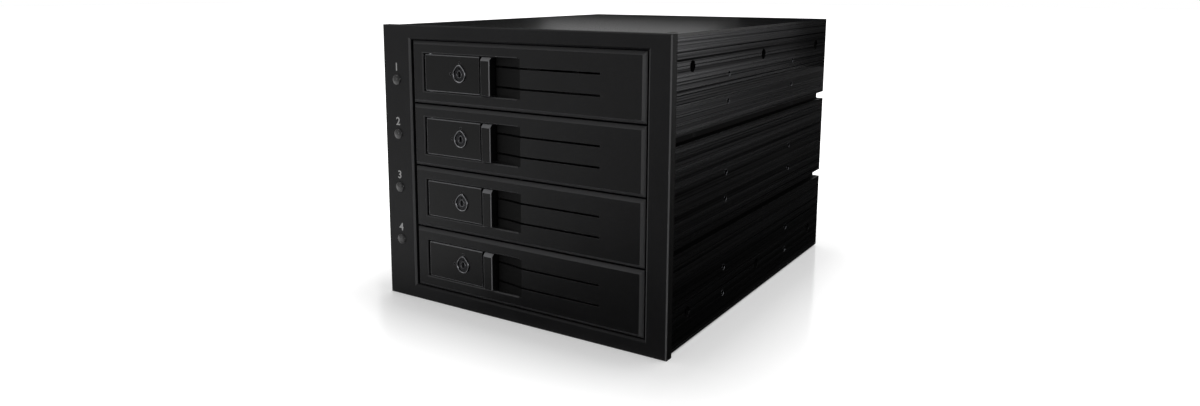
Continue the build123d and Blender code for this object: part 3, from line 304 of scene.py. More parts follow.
# %% Lamps and reflection cards
def soft_lamp(name, place, target, size, brightness):
    """A rectangular area lamp that faces a target. Its power is pi times its area times its
    brightness, where 1 is as bright as fully lit white paper."""
    data = bpy.data.lights.new(name, "AREA")
    data.shape = "RECTANGLE"
    data.size, data.size_y = size
    data.energy = np.pi * size[0] * size[1] * brightness
    lamp = bpy.data.objects.new(name, data)
    lamp.location = place
    aim = Vector(target) - Vector(place)
    lamp.rotation_euler = aim.to_track_quat("-Z", "Y").to_euler()
    lamp.visible_camera = False
    bpy.context.scene.collection.objects.link(lamp)
    return lamp


def reflection_card(name, place, target, size, brightness):
    """A bright card that shows in gloss and throws no light of its own."""
    card = soft_lamp(name, place, target, size, brightness)
    card.visible_diffuse = False
    return card


soft_lamp("overhead", (0.0, 0.1, 0.9), (0, 0.1, 0), (0.9, 0.5), 2.8)
soft_lamp("front_left", (-0.7, -0.8, 0.25), (-0.05, -0.1, 0.06), (0.4, 0.4), 1.2)
soft_lamp("front_right", (0.6, -0.9, 0.3), (0.05, -0.1, 0.06), (0.3, 0.3), 2.0)
reflection_card("card_right_rear", (SCREEN_X, 0.44, 0.2), (CAGE_SIDE, 0.44, 0.2), (0.4, 0.4), 3.2)
reflection_card("card_floor_left", (-0.2, -0.27, 0.001), (-0.2, -0.27, 1), (0.26, 0.3), 1.3)
reflection_card("card_front", (-0.47, -1.16, 0.15), (0.07, -0.1, 0.12), (0.35, 0.35), 3.0)
reflection_card("card_above", (-0.4, -0.5, 0.65), (0, -0.1, 0.07), (0.4, 0.4), 4.0)
reflection_card("card_right", (0.5, -0.33, 0.15), (0.06, -0.1, 0.07), (0.25, 0.35), 10.0)
print("three lamps and five cards")

# %% [markdown]
# ## Moulded plastics
# The bezel and the tray fronts are injection moulded ABS. The mould was spark eroded, which
# leaves a fine pebble that scatters light, so the plastic is matte. Edges and chamfers are a little
# lighter: partly wear from handling, and partly a painted highlight, the thin lines where they would
# catch the light. The levers come from a smoother mould. The finger dish beside each grip has a
# deeper, duller texture, and it is darker by a painted shade of the recess. The bezel's outer sides
# are darker by a painted shade too. The pebble of the real mould is about 0.15 mm and wouldn't show
# at this distance, so it is drawn four times as coarse.


# %% Where a pattern applies
# This edge mask gives edges a lighter colour, partly as wear and partly as a painted highlight.
def edge_wear(tree, rounded, sideways=False):
    """1 along edges and 0 on flats: how far the rounded normal leans away from the surface's own.
    The lean is measured by the dot product, which is 1 on a flat face and falls towards an edge.
    With sideways, an edge counts only as far as its rounded normal leans to the left or right."""
    own = add_node(tree, "NewGeometry").outputs["True Normal"]
    lean = add_node(tree, "VectorMath", {"operation": "DOT_PRODUCT"}, {0: rounded, 1: own})
    wear = spread(tree, lean.outputs["Value"], 1.0, 0.0, EDGE_LEAN, FLAT_LEAN)
    if sideways:
        part = add_node(tree, "SeparateXYZ", inputs={"Vector": rounded}).outputs["X"]
        size = add_node(tree, "Math", {"operation": "ABSOLUTE"}, {0: part}).outputs[0]
        upright = spread(tree, size, 0.0, 1.0, 0.1, 0.4)
        wear = add_node(tree, "Math", {"operation": "MULTIPLY"}, {0: wear, 1: upright}).outputs[0]
    return wear


def within(tree, value, low, high):
    """1 where a value lies between two limits, and 0 elsewhere."""
    middle, half = (low + high) / 2, (high - low) / 2
    inputs = {0: value, 1: middle, 2: half}
    return add_node(tree, "Math", {"operation": "COMPARE"}, inputs).outputs[0]


def place_of(tree, axis):
    """One of the Object coordinates, X, Y or Z."""
    place = add_node(tree, "TexCoord").outputs["Object"]
    return add_node(tree, "SeparateXYZ", inputs={"Vector": place}).outputs[axis]


def from_middle(tree):
    """The distance from the middle plane between left and right."""
    return add_node(tree, "Math", {"operation": "ABSOLUTE"}, {0: place_of(tree, "X")}).outputs[0]


def leaning(tree, axis, low, high):
    """1 where the size of the surface's own normal along an axis lies between two limits. A
    chamfer leans, so its normal has a size between 0 and 1, where a flat front has exactly 1."""
    own = add_node(tree, "NewGeometry").outputs["True Normal"]
    part = add_node(tree, "SeparateXYZ", inputs={"Vector": own}).outputs[axis]
    size = add_node(tree, "Math", {"operation": "ABSOLUTE"}, {0: part}).outputs[0]
    return within(tree, size, low, high)


def refinish(material, where, shade, roughness=None):
    """Give a material another shade, and if asked another roughness, where a pattern is 1."""
    tree, shader = material.node_tree, material.node_tree.nodes["Principled BSDF"]
    colour, gloss = shader.inputs["Base Color"], shader.inputs["Roughness"]
    tree.links.new(blend(tree, where, colour.links[0].from_socket, shade), colour)
    if roughness is not None:
        inputs = {"Factor": where, "A": gloss.links[0].from_socket, "B": roughness}
        mixed = add_node(tree, "Mix", {"data_type": "FLOAT"}, inputs)
        tree.links.new(mixed.outputs["Result"], gloss)


EDGE_LEAN, FLAT_LEAN = 0.8, 0.985
CHAMFER_LEAN = (0.3, 0.93)
FACING_LEAN = (0.98, 1.0)
print("pattern helpers")


# %% Plastics
def moulded_plastic(name, dark, light, roughness, grain_mm, grain_depth_mm, edge_mm,
                    gloss=0.2, worn_and_lit_edge=None, sideways=False):
    """Spark-textured or satin plastic: cloudy colour, uneven roughness, a pebble bump, and edges and
    chamfers in a lighter colour that is partly wear and partly a painted highlight; the edges may be
    upright edges only."""
    material, tree, shader = new_material(name, dark, roughness, Specular_IOR_Level=gloss)
    cloud = noise(tree, 18.0, 3.0)
    pebble = noise(tree, grain_mm, 3.0, rough=0.6)
    shade = blend(tree, spread(tree, cloud, 0.0, 1.0), dark, light)
    rounded = soft_edge(tree, edge_mm)
    # Edges and chamfers take the lighter colour: wear from handling, and a painted highlight where they
    # would catch the light.
    if worn_and_lit_edge:
        lit_chamfers = leaning(tree, "X" if sideways else "Y", *CHAMFER_LEAN)
        inputs = {0: edge_wear(tree, rounded, sideways), 1: lit_chamfers}
        rubbed_and_lit = add_node(tree, "Math", {"operation": "MAXIMUM"}, inputs).outputs[0]
        shade = blend(tree, rubbed_and_lit, shade, worn_and_lit_edge)
    tree.links.new(shade, shader.inputs["Base Color"])
    uneven = spread(tree, pebble, roughness - 0.06, roughness + 0.06)
    tree.links.new(uneven, shader.inputs["Roughness"])
    relief(tree, shader, pebble, grain_depth_mm, normal=rounded)
    return material


def dull_dishes(material, shade, roughness):
    """Make the finger dishes duller, and darker by a painted shade of the recess. They lie right of each
    lever, in bands whose middles are one tray pitch apart, so height is folded by the pitch before it
    is compared."""
    tree = material.node_tree
    across = within(tree, place_of(tree, "X"), DISH_LEFT, DISH_RIGHT)
    inputs = {0: place_of(tree, "Z"), 1: BAY_LOW_Z}
    above_lowest = add_node(tree, "Math", {"operation": "SUBTRACT"}, inputs).outputs[0]
    inputs = {0: above_lowest, 1: BAY_PITCH / 2}
    folded = add_node(tree, "Math", {"operation": "PINGPONG"}, inputs).outputs[0]
    inputs = {0: across, 1: within(tree, folded, 0.0, DISH_HALF_HEIGHT)}
    dish = add_node(tree, "Math", {"operation": "MULTIPLY"}, inputs).outputs[0]
    refinish(material, dish, shade, roughness)


def darken_sides(material, reach, shade):
    """Paint shade on the sides that lie further than reach from the middle plane and face left or
    right, such as the bezel's outer sides: a darker colour that stands in for their shade."""
    tree = material.node_tree
    inputs = {0: from_middle(tree), 1: reach}
    beyond = add_node(tree, "Math", {"operation": "GREATER_THAN"}, inputs).outputs[0]
    inputs = {0: beyond, 1: leaning(tree, "X", *FACING_LEAN)}
    sides = add_node(tree, "Math", {"operation": "MULTIPLY"}, inputs).outputs[0]
    refinish(material, sides, shade)


DISH_WIDTH = 15.1 * MM
LEVER_GAP, DISH_MARGIN = 0.4 * MM, 0.3 * MM
BEZEL_SIDE = 74.2 * MM
lever_boxes = [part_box(f"tray_{n}_lever") for n in TRAYS]
bays = [(low + high) / 2 for low, high in lever_boxes]
BAY_PITCH = bays[0].z - bays[1].z
BAY_LOW_Z = bays[3].z
lever_low, lever_high = lever_boxes[0]
DISH_LEFT = lever_high.x + LEVER_GAP
DISH_RIGHT = DISH_LEFT + DISH_WIDTH
DISH_HALF_HEIGHT = (lever_high.z - lever_low.z) / 2 + DISH_MARGIN

# Where a plastic has a last, lighter colour, it is its edge colour: part wear, part painted highlight.
bezel_abs = moulded_plastic(
    "spark_textured_bezel_abs", "121213", "161617", 0.5, 0.6, 0.05, 0.35, 0.06, "4a4a4b", sideways=True
)
tray_abs = moulded_plastic(
    "spark_textured_tray_abs", "0b0b0c", "0f0f10", 0.46, 0.6, 0.045, 0.3, 0.074, "39393a"
)
lever_abs = moulded_plastic(
    "satin_lever_abs", "090909", "0c0c0d", 0.38, 0.5, 0.015, 0.3, 0.062, "707072"
)
# Painted shade in the finger dishes: near black 030303, with roughness 0.8.
dull_dishes(tray_abs, "030303", 0.8)
# Painted shade on the bezel's outer sides: near black 020202.
darken_sides(bezel_abs, BEZEL_SIDE, "020202")
guide_nylon = moulded_plastic("guide_glass_filled_nylon", "141414", "1e1e1e", 0.55, 0.6, 0.02, 0.2)
connector_lcp = moulded_plastic("connector_black_polymer", "101010", "181818", 0.42, 0.5, 0.01, 0.1)
fan_pbt = moulded_plastic(
    "fan_glass_filled_polyester", "121213", "1c1c1d", 0.4, 0.5, 0.01, 0.25, 0.2, "262627"
)
print("six plastics, tray pitch", round(BAY_PITCH / MM, 2), "mm")

# %% [markdown]
# ## Brushed side panels
# The side panels are extruded aluminium, brushed lengthwise and anodised black. Brushing leaves
# long shallow scratches, all along Y. Under the black skin the metal still mirrors, so the panel
# has no matte colour of its own: it is a metal with a very dark reflection, lighter on some
# streaks and darker on others, and it is black where it mirrors black. The pattern is noise
# stretched nine hundred times along Y: bands a few millimetres wide, and hairs of about one. The
# brush doesn't reach into the grooves or inside, so those stay dull and darker.


# %% Brushed black anodised aluminium
def brushed_metal(name, dark, light, roughness, streak_mm, hair_mm, depth_mm, **inputs):
    """Metal brushed along Y: streaks and hairs change its colour, roughness and height."""
    material, tree, shader = new_material(name, dark, roughness, Metallic=1.0, **inputs)
    streaks = noise(tree, streak_mm, 2.0, ALONG_BRUSH, 0.6)
    hairs = noise(tree, hair_mm, 3.0, ALONG_BRUSH, 0.75)
    inputs = {"Factor": HAIR_SHARE, "A": streaks, "B": hairs}
    both = add_node(tree, "Mix", {"data_type": "FLOAT"}, inputs).outputs["Result"]
    shade = blend(tree, spread(tree, both, 0.0, 1.0, *STREAK_RANGE), dark, light)
    tree.links.new(shade, shader.inputs["Base Color"])
    uneven = spread(tree, hairs, roughness + 0.08, roughness - 0.08, *HAIR_RANGE)
    tree.links.new(uneven, shader.inputs["Roughness"])
    relief(tree, shader, both, depth_mm, normal=soft_edge(tree, 0.05))
    return material


def dull_within(material, reach, shade, roughness):
    """Give a duller finish to what lies nearer to the middle plane than reach."""
    tree = material.node_tree
    inputs = {0: from_middle(tree), 1: reach}
    inside = add_node(tree, "Math", {"operation": "LESS_THAN"}, inputs).outputs[0]
    refinish(material, inside, shade, roughness)


ALONG_BRUSH = (1, 900, 1)
HAIR_SHARE = 0.78
STREAK_RANGE, HAIR_RANGE = (0.42, 0.6), (0.35, 0.65)
BRUSHED_DEPTH = 0.5 * MM
brushed_black = brushed_metal(
    "brushed_black_anodised_aluminium", "060606", "464647", 0.31, 3.2, 0.9, 0.05,
    Specular_Tint=linear("bcbcbc"),
)
dull_within(brushed_black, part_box("right_side_panel")[1].x - BRUSHED_DEPTH, "121212", 0.55)
print("brushed panel finish")

# %% [markdown]
# ## Coated and plated metals
# The covers and the rear plate are powder coated steel. The powder melts into a skin with a
# soft orange peel. The tray frames have a thinner dipped coat. Screws, pins and the fan guard
# are zinc or nickel plated, and the zinc varies a little from spot to spot.


# %% Metals
def coated_steel(name, dark, light, roughness, peel_mm, peel_depth_mm, gloss):
    """Steel under a coat of paint or powder: orange peel as a bump, faint blotches as colour."""
    material, tree, shader = new_material(name, dark, roughness, Specular_IOR_Level=gloss)
    blotch = noise(tree, 12.0, 3.0)
    peel = noise(tree, peel_mm, 2.0)
    shade = blend(tree, spread(tree, blotch, 0, 1), dark, light)
    tree.links.new(shade, shader.inputs["Base Color"])
    uneven = spread(tree, peel, roughness - 0.05, roughness + 0.07)
    tree.links.new(uneven, shader.inputs["Roughness"])
    relief(tree, shader, peel, peel_depth_mm, normal=soft_edge(tree, 0.15))
    return material


def plated_metal(name, dark, light, roughness, patch_mm, edge_mm=0.1):
    """Bare or plated metal: patches of two tones, fine scuffs in the roughness, small pits."""
    material, tree, shader = new_material(name, dark, roughness, Metallic=1.0)
    patches = noise(tree, patch_mm, 4.0)
    scuffs = noise(tree, 0.25, 2.0)
    shade = blend(tree, spread(tree, patches, 0, 1), dark, light)
    tree.links.new(shade, shader.inputs["Base Color"])
    uneven = spread(tree, scuffs, roughness - 0.07, roughness + 0.1)
    tree.links.new(uneven, shader.inputs["Roughness"])
    relief(tree, shader, scuffs, 0.004, normal=soft_edge(tree, edge_mm))
    return material


powder_coat = coated_steel("black_powder_coated_steel", "050506", "080809", 0.31, 0.8, 0.015, 0.12)
dipped_coat = coated_steel("black_dip_coated_tray_steel", "131314", "1a1a1b", 0.42, 0.5, 0.008, 0.35)
zinc_plate = plated_metal("clear_zinc_plated_screw_steel", "8f949b", "b4b8bc", 0.3, 1.5)
black_zinc = plated_metal("black_zinc_plated_screw_steel", "1d1d1f", "2b2b2d", 0.35, 1.2)
oxide_black = coated_steel("black_oxide_screw_steel", "030303", "060606", 0.5, 0.4, 0.004, 0.03)
bright_steel = plated_metal("ground_pin_steel", "a2a4a7", "b9babd", 0.22, 2.0)
cam_zinc = plated_metal("zinc_plated_cam_steel", "85888d", "a9acb0", 0.34, 1.5)
guard_nickel = plated_metal("nickel_plated_guard_wire", "9c9a96", "b6b3ae", 0.25, 3.0)
lock_metal = plated_metal("black_nickel_lock_casting", "101011", "1a1a1b", 0.32, 1.0, 0.15)
bead_nickel = plated_metal("worn_nickel_lock_bead", "38383a", "58585a", 0.22, 1.6)
drilled_aluminium = plated_metal("drilled_aluminium_rim", "3a3b3d", "505154", 0.35, 0.6)
bronze = plated_metal("sintered_bearing_bronze", "8a6234", "a67a47", 0.45, 0.4)
laminations = brushed_metal(
    "stator_steel_laminations", "5f5c58", "85817b", 0.45, 0.5, 0.3, 0.03
)
print("coated, plated and bare metals")

# %% [markdown]
# ## Board, lamps and small electrical parts
# The backplane is a glass-fibre board under green solder mask, in which copper tracks show as
# lighter lines. The lamp lenses are smoked polycarbonate, nearly black when the lamp is off.


# %% Electrical finishes
def solder_mask(name, dark, light):
    """Solder mask over copper: square-cornered tracks and pads show lighter through the green."""
    material, tree, shader = new_material(name, dark, 0.28, Coat_Weight=0.3)
    place = add_node(tree, "TexCoord").outputs["Object"]
    scale = [1 / side for side in TRACK_CELL]
    mapped = add_node(tree, "Mapping", inputs={"Vector": place, "Scale": scale}).outputs["Vector"]
    options = {"feature": "F1", "distance": "CHEBYCHEV"}
    cells = add_node(tree, "TexVoronoi", options, {"Vector": mapped, "Scale": 1.0})
    options = {"wave_type": "BANDS", "bands_direction": "Z"}
    lines = add_node(tree, "TexWave", options, {"Vector": mapped, "Scale": 1.2, "Distortion": 0.0})
    inputs = {0: lines.outputs["Fac"], 1: TRACK_START}
    track = add_node(tree, "Math", {"operation": "GREATER_THAN"}, inputs).outputs[0]
    inputs = {0: cells.outputs["Distance"], 1: TRACK_REACH}
    run = add_node(tree, "Math", {"operation": "LESS_THAN"}, inputs).outputs[0]
    copper = add_node(tree, "Math", {"operation": "MULTIPLY"}, {0: track, 1: run}).outputs[0]
    tree.links.new(blend(tree, copper, dark, light), shader.inputs["Base Color"])
    relief(tree, shader, copper, 0.03)
    return material


def clear_plastic(name, colour, roughness, transmission, gloss=0.5):
    """Transparent plastic with flow marks that ripple its surface very slightly."""
    material, tree, shader = new_material(
        name, colour, roughness, Transmission_Weight=transmission, Specular_IOR_Level=gloss, IOR=1.58
    )
    ripple = noise(tree, 1.2, 2.0)
    tree.links.new(spread(tree, ripple, roughness, roughness + 0.08), shader.inputs["Roughness"])
    relief(tree, shader, ripple, 0.01)
    return material


TRACK_CELL = (9.0 * MM, 9.0 * MM, 4.0 * MM)
TRACK_START, TRACK_REACH = 0.72, 0.42
board_mask = solder_mask("green_solder_mask", "0d3b22", "1f6b3c")
smoked_lens = clear_plastic("smoked_polycarbonate_lens", "0e0e0f", 0.24, 0.05, gloss=0.16)
lamp_epoxy = clear_plastic("clear_lamp_epoxy", "dfe6ea", 0.08, 0.8)
contact_gold = plated_metal("flash_gold_contact", "b98a3a", "d3a552", 0.24, 0.6, 0.03)
header_nylon = moulded_plastic("natural_header_nylon", "d8d2bf", "e4dfcf", 0.4, 0.5, 0.01, 0.1, 0.5)
can_sleeve = moulded_plastic("capacitor_sleeve", "16161f", "1d1d2a", 0.3, 0.8, 0.01, 0.3, 0.5)
numeral_ink = moulded_plastic("pad_printed_grey_ink", "8f8f8f", "9a9a9a", 0.5, 0.3, 0.005, 0.02, 0.4)
print("board, lens, lamp, header, capacitor and ink finishes")

# %% [markdown]
# ## Dress the solids
# Each CAD node keeps its shape and only changes its finish. A table from node to material says
# which piece is made of what, and the trays repeat theirs four times.

# %% Give every node its finish
FINISHES = {
    bezel_abs: ["front_bezel"],
    brushed_black: ["left_side_panel", "right_side_panel"],
    powder_coat: ["top_cover", "bottom_plate", "rear_plate"],
    guide_nylon: ["left_guide", "right_guide"],
    board_mask: ["backplane_board", "lamp_board"],
    connector_lcp: ["drive_connectors", "data_sockets", "power_sockets"],
    header_nylon: ["fan_header"],
    can_sleeve: ["board_capacitors"],
    smoked_lens: ["lamp_lenses"],
    lamp_epoxy: ["lamps"],
    fan_pbt: ["fan_housing", "fan_rotor"],
    bronze: ["fan_bearing"],
    laminations: ["fan_stator"],
    guard_nickel: ["fan_guard"],
    zinc_plate: ["bezel_screws", "board_screws"],
    black_zinc: ["rear_plate_screws", "fan_screws"],
    oxide_black: ["guide_screws", "cover_screws"],
}
TRAY_FINISHES = {
    "face": tray_abs, "frame": dipped_coat, "screws": zinc_plate, "lever": lever_abs,
    "lever_pin": bright_steel, "lock_barrel": lock_metal, "lock_plug": lock_metal, "lock_cam": cam_zinc,
}
finish_of = {name: finish for finish, names in FINISHES.items() for name in names}
for tray in TRAYS:
    for piece, finish in TRAY_FINISHES.items():
        finish_of[f"tray_{tray}_{piece}"] = finish
for name, node in nodes.items():
    node.data.materials.clear()
    node.data.materials.append(finish_of[name])
print(len(finish_of), "nodes dressed")

# %% [markdown]
# ## Pieces of revolution and beads
# Two small surfaces serve many details. A turned shape is a profile spun about an axis, as on a
# lathe, and a bead is a round wire bent along a closed path. Both are grids: one direction walks
# along the profile or the path, the other goes round, and the faces join neighbours in the grid.


# %% Grids, turned shapes and beads
MERGE_DISTANCE = 0.0001 * MM
SHARP_ANGLE = np.radians(40)


def grid_faces(rows, columns, wrap_rows=False):
    """Faces that join a grid of points, wrapped round in its columns and, if asked, in its rows."""
    bands = np.arange(rows if wrap_rows else rows - 1)
    row, column = np.meshgrid(bands, np.arange(columns), indexing="ij")
    here = row * columns + column
    beside = row * columns + (column + 1) % columns
    above = (row + 1) % rows * columns + column
    across = (row + 1) % rows * columns + (column + 1) % columns
    return np.stack([here, beside, across, above], -1).reshape(-1, 4)


def new_piece(name, points, faces, material, body, slot):
    """A mesh object from arrays of points and faces, smooth shaded, that rides on a body. Points
    that fall together, as at a pole, are merged, so that the surface is closed there."""
    mesh = bpy.data.meshes.new(name)
    mesh.from_pydata(points.tolist(), [], faces.tolist())
    work = bmesh.new()
    work.from_mesh(mesh)
    bmesh.ops.remove_doubles(work, verts=work.verts, dist=MERGE_DISTANCE)
    work.to_mesh(mesh)
    work.free()
    mesh.shade_smooth()
    mesh.set_sharp_from_angle(angle=SHARP_ANGLE)
    mesh.materials.append(material)
    piece = bpy.data.objects.new(name, mesh)
    bpy.context.scene.collection.objects.link(piece)
    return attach(piece, body)


def turned(profile, sides):
    """Spin a closed profile of (radius, height) pairs about the third axis: each point goes round
    a circle, so its first two coordinates are radius times cosine and radius times sine."""
    angle = np.linspace(0, 2 * np.pi, sides, endpoint=False)
    radius, height = np.asarray(profile, float).T
    ring = np.stack([np.cos(angle), np.sin(angle)], -1)
    flat = radius[:, None, None] * ring[None]
    tall = np.broadcast_to(height[:, None, None], (len(radius), sides, 1))
    faces = grid_faces(len(radius), sides, wrap_rows=True)
    return np.concatenate([flat, tall], -1).reshape(-1, 3), faces


def bead(path, wire, sides=12):
    """A round wire along a closed flat path: each ring of points lies in the plane of the path's
    outward normal and the third axis, at the wire's radius from the path."""
    ahead = np.roll(path, -1, 0) - np.roll(path, 1, 0)
    ahead /= np.linalg.norm(ahead, axis=1, keepdims=True)
    outward = np.stack([ahead[:, 1], -ahead[:, 0], np.zeros(len(path))], -1)
    angle = np.linspace(0, 2 * np.pi, sides, endpoint=False)
    up = np.array([0.0, 0.0, 1.0])
    ring = np.cos(angle)[None, :, None] * outward[:, None] + np.sin(angle)[None, :, None] * up
    centre = np.concatenate([path, np.zeros((len(path), 1))], 1)
    points = centre[:, None] + wire * ring
    return points.reshape(-1, 3), grid_faces(len(path), sides, wrap_rows=True)[:, ::-1]


def repeat(points, faces, places):
    """Copies of one shape at several places, as one pair of arrays."""
    places = np.asarray(places, float)
    moved = (points[None] + places[:, None]).reshape(-1, 3)
    steps = (np.arange(len(places)) * len(points))[:, None, None]
    return moved, (faces[None] + steps).reshape(-1, 4)


def strip(path, width, thickness):
    """A flat strip along a path of (y, z) pairs: four corners round each point of the path, half
    a width to each side and a thickness down, closed by one face at each end."""
    across = np.array([-0.5, 0.5, 0.5, -0.5]) * width
    down = np.array([0, 0, -1, -1]) * thickness
    count = len(path)
    points = np.empty((count, 4, 3))
    points[..., 0] = across
    points[..., 1] = path[:, :1]
    points[..., 2] = path[:, 1:] + down
    ends = np.array([[3, 2, 1, 0], [4 * count - 4, 4 * count - 3, 4 * count - 2, 4 * count - 1]])
    return points.reshape(-1, 3), np.concatenate([grid_faces(count, 4), ends])


def facing_front(points):
    """Turn a shape built along +Z to point along -Y, with its second axis up."""
    return np.stack([points[:, 0], -points[:, 2], points[:, 1]], 1)


print("grids, turned shapes and beads")

# %% [markdown]
# ## Lens domes
# Each lamp lens ends in a shallow dome, so it shows a soft crescent of light instead of a flat
# grey disc. The dome is part of a sphere: at radius r its height is the full height times
# one minus the square of r over the dome's own radius.

# %% Lens domes
LAMP_PITCH = 25.25 * MM
LENS_RADIUS = 2.3 * MM
DOME_RISE, DOME_SUNK = 0.6 * MM, 0.02 * MM
LENS_SHOULDER = 2.9 * MM
lens_low, lens_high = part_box("lamp_lenses")
lamp_x = (lens_low.x + lens_high.x) / 2
lamp_heights = [lens_high.z - LENS_SHOULDER - n * LAMP_PITCH for n in range(4)]
out = np.linspace(1, 0, 12)
dome_profile = np.stack([LENS_RADIUS * out, DOME_RISE * (1 - out**2)], 1)
points, faces = turned(np.concatenate([[(0, 0)], dome_profile]), 32)
points = facing_front(points)
places = [(lamp_x, lens_low.y + DOME_SUNK, z) for z in lamp_heights]
new_piece("lens_domes", *repeat(points, faces, places), smoked_lens, "cage", "lens_plastic")
print("lamp heights in mm:", [round(z / MM, 2) for z in lamp_heights])

# %% [markdown]
# ## Lock beads
# Round each lock a nickel bead is pressed into the lever. It is a circle drawn out to a point at
# the top, like a drop, and it is worn bright. Its radius grows near the top by a power of the
# cosine, so that only the uppermost part is drawn out.

# %% Lock beads
DROP_RADIUS = 3.25 * MM
DROP_POINT = 0.85 * MM
DROP_WIRE = 0.3 * MM
INNER_DROP = 0.42
angle = np.linspace(0, 2 * np.pi, 96, endpoint=False)
reach_out = DROP_RADIUS + DROP_POINT * np.clip(np.sin(angle), 0, 1) ** 8
drop_path = np.stack([reach_out * np.cos(angle), reach_out * np.sin(angle)], 1)
for tray in TRAYS:
    low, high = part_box(f"tray_{tray}_lock_barrel")
    centre = ((low.x + high.x) / 2, low.y, (low.z + high.z) / 2)
    points, faces = bead(drop_path, DROP_WIRE)
    new_piece(f"tray_{tray}_lock_bead", facing_front(points) + centre, faces, bead_nickel,
              f"lever_{tray}", "lock_metal")
    points, faces = bead(drop_path * INNER_DROP, DROP_WIRE * INNER_DROP)
    centre = (centre[0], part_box(f"tray_{tray}_lock_plug")[0].y, centre[2])
    new_piece(f"tray_{tray}_keyhole_bead", facing_front(points) + centre, faces, bead_nickel,
              f"lock_{tray}", "lock_metal")
print("beads of", round((DROP_RADIUS + DROP_POINT) / MM, 2), "mm to the point")

# %% [markdown]
# ## Rims of the case screw holes
# The side panels were anodised before their screw holes were drilled and countersunk a little, so
# each hole has a thin rim of bare aluminium, which shows as a light dot. The holes' places follow
# the standard for drives of this kind: two rows in each bay unit, 79.25 mm apart.

# %% Rims of the case screw holes
BAY_UNIT = 43.18 * MM
HOLE_ROWS = (10.0 * MM, 21.84 * MM)
HOLE_SPACING = 79.25 * MM
HOLE_RADIUS = 1.25 * MM
RIM_WIDTH = 0.22 * MM
RIM_DEPTH = 0.15 * MM
RIM_PROUD = 0.02 * MM
HOLES_BEHIND_MIDDLE = 0.35 * MM
PANEL_FOOT = 0.7 * MM
bezel_low, bezel_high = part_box("front_bezel")
plate_low, plate_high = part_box("rear_plate")
bezel_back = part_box("left_side_panel")[0].y
hole_middle = (bezel_back + plate_low.y) / 2 + HOLES_BEHIND_MIDDLE
rim_radius, rim_foot = HOLE_RADIUS + RIM_WIDTH, RIM_PROUD - RIM_DEPTH
rim_profile = [(rim_radius, RIM_PROUD), (HOLE_RADIUS + RIM_WIDTH / 2, RIM_PROUD),
               (HOLE_RADIUS, rim_foot), (rim_radius, rim_foot)]
rim_points, rim_faces = turned(rim_profile, 24)
for side, body_name in ((-1, "left"), (1, "right")):
    panel_low, panel_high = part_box(f"{body_name}_side_panel")
    surface = panel_high.x if side > 0 else panel_low.x
    outward = np.stack([side * rim_points[:, 2], side * rim_points[:, 0], rim_points[:, 1]], 1)
    foot = panel_low.z - PANEL_FOOT
    places = [(surface, hole_middle + end * HOLE_SPACING / 2, foot + unit * BAY_UNIT + row)
              for end in (-1, 1) for unit in range(3) for row in HOLE_ROWS]
    new_piece(f"{body_name}_hole_rims", *repeat(outward, rim_faces, places), drilled_aluminium, "cage",
              "brushed_side")
print("hole middle at", round(hole_middle / MM, 2), "mm")

# %% [markdown]
# ## Gold contacts
# A drive plugs into two rows of spring contacts, 7 for data and 15 for power, 1.27 mm apart. Each
# is a narrow gold-plated strip that arches up a little in the middle, by a half wave of the sine,
# so that it presses on the drive's own contact. The cables' sockets behind the board have the same
# rows on a flat tongue, so there the arch is left out.


# %% Contacts in the drive receptacles
CONTACT_PITCH = 1.27 * MM
DATA_CONTACTS, POWER_CONTACTS = 7, 15


def contact_row(count, middle_x, y_start, y_end, z, arch, width=0.84 * MM, thickness=0.12 * MM):
    """A row of contact strips at the standard's spacing, as one pair of arrays."""
    share = np.linspace(0, 1, 9)
    path = np.stack([y_start + (y_end - y_start) * share, z + arch * np.sin(np.pi * share)], 1)
    points, faces = strip(path, width, thickness)
    offsets = (np.arange(count) - (count - 1) / 2) * CONTACT_PITCH
    places = np.stack([middle_x + offsets, np.zeros(count), np.zeros(count)], 1)
    return repeat(points, faces, places)


def join(parts):
    """Several pairs of points and faces as one pair."""
    starts = np.cumsum([0] + [len(points) for points, _ in parts[:-1]])
    joined = np.concatenate([faces + start for start, (points, faces) in zip(starts, parts)])
    return np.concatenate([points for points, _ in parts]), joined


DATA_SLOT_INSET = 7.5 * MM
POWER_SLOT_INSET = 13.0 * MM
SLOT_BELOW_TOP = 4.4 * MM
SLOT_LIFT = 0.1 * MM
SPRING_START, SPRING_END, SPRING_ARCH = 0.7 * MM, 5.3 * MM, 0.35 * MM
plug_low, plug_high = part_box("drive_connectors")
rows = []
ends = (plug_low.y + SPRING_START, plug_low.y + SPRING_END)
slots = ((DATA_CONTACTS, plug_low.x + DATA_SLOT_INSET), (POWER_CONTACTS, plug_high.x - POWER_SLOT_INSET))
for bay in range(4):
    slot_floor = plug_high.z - SLOT_BELOW_TOP - bay * BAY_PITCH + SLOT_LIFT
    rows += [contact_row(count, middle, *ends, slot_floor, SPRING_ARCH) for count, middle in slots]
new_piece("receptacle_contacts", *join(rows), contact_gold, "cage", "pin_steel")
print(4 * (DATA_CONTACTS + POWER_CONTACTS), "spring contacts")

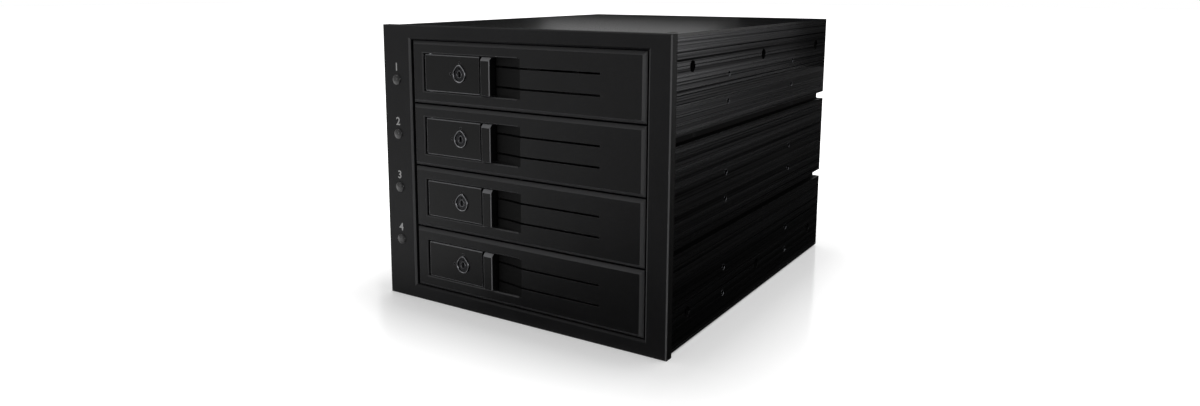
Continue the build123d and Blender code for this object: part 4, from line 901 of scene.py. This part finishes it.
# %% Contacts on the sockets' tongues
TONGUE_HALF = 0.6 * MM
CONTACT_PROUD = 0.08 * MM
SOCKET_HALF = 3.1 * MM
TONGUE_START, TONGUE_END = 6.0 * MM, 1.4 * MM
rows = []
for node, count, socket_count in (("data_sockets", DATA_CONTACTS, 4), ("power_sockets", POWER_CONTACTS, 2)):
    low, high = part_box(node)
    ends = (high.y - TONGUE_START, high.y - TONGUE_END)
    middles = np.linspace(low.z + SOCKET_HALF, high.z - SOCKET_HALF, socket_count)
    for z in middles + TONGUE_HALF + CONTACT_PROUD:
        rows.append(contact_row(count, (low.x + high.x) / 2, *ends, z, 0.0))
new_piece("socket_contacts", *join(rows), contact_gold, "cage", "pin_steel")
print(len(rows), "rows on the sockets' tongues")


# %% Bare metal on the fan header and the capacitors
def bare_beyond(material, start, shade, roughness):
    """Turn a finish to bare metal behind a given depth, such as a header's pins or a can's top."""
    tree, shader = material.node_tree, material.node_tree.nodes["Principled BSDF"]
    inputs = {0: place_of(tree, "Y"), 1: start}
    bare = add_node(tree, "Math", {"operation": "GREATER_THAN"}, inputs).outputs[0]
    tree.links.new(bare, shader.inputs["Metallic"])
    refinish(material, bare, shade, roughness)


PIN_LENGTH = 5.9 * MM
CAN_TOP = 0.3 * MM
bare_beyond(header_nylon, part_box("fan_header")[1].y - PIN_LENGTH, "a9a9ad", 0.25)
bare_beyond(can_sleeve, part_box("board_capacitors")[1].y - CAN_TOP, "b4b4b8", 0.3)
print("header pins and can tops bare")

# %% [markdown]
# ## Printed numerals
# A small plain number stands above each lamp. It is pad printed: a film of grey ink a few
# hundredths of a millimetre thick. Blender's text makes the outline, and the outline becomes a
# mesh before it is put in place, so that the object itself stays at the origin.


# %% Numerals above the lamps
def printed_numeral(number, x, z, height, front):
    """A numeral as a thin slab of ink on the bezel, centred at x, with its foot at z."""
    text = bpy.data.curves.new(f"numeral_{number}_outline", "FONT")
    text.body = str(number)
    text.size = height / DIGIT_SHARE
    text.align_x = "CENTER"
    text.extrude = INK_HALF
    text.offset = NUMERAL_BOLD
    outline = bpy.data.objects.new(f"numeral_{number}_outline", text)
    bpy.context.scene.collection.objects.link(outline)
    bpy.context.view_layer.update()
    ready = outline.evaluated_get(bpy.context.evaluated_depsgraph_get())
    mesh = bpy.data.meshes.new_from_object(ready)
    bpy.data.objects.remove(outline)
    flat = np.empty(len(mesh.vertices) * 3)
    mesh.vertices.foreach_get("co", flat)
    flat = flat.reshape(-1, 3)
    upright = np.stack([flat[:, 0] + x, front - flat[:, 2], flat[:, 1] + z], 1)
    mesh.vertices.foreach_set("co", upright.ravel())
    mesh.update()
    mesh.materials.clear()
    mesh.materials.append(numeral_ink)
    numeral = bpy.data.objects.new(f"lamp_numeral_{number}", mesh)
    bpy.context.scene.collection.objects.link(numeral)
    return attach(numeral, "cage")


NUMERAL_HEIGHT = 3.6 * MM
NUMERAL_BOLD = 0.07 * MM
INK_HALF = 0.02 * MM
# A digit's height as a share of the text size in Blender's own font
DIGIT_SHARE = 0.7
NUMERAL_RISE = 4.2 * MM
for number, lamp_z in zip(TRAYS, lamp_heights):
    printed_numeral(number, lamp_x, lamp_z + NUMERAL_RISE, NUMERAL_HEIGHT, bezel_low.y)
print("four numerals")
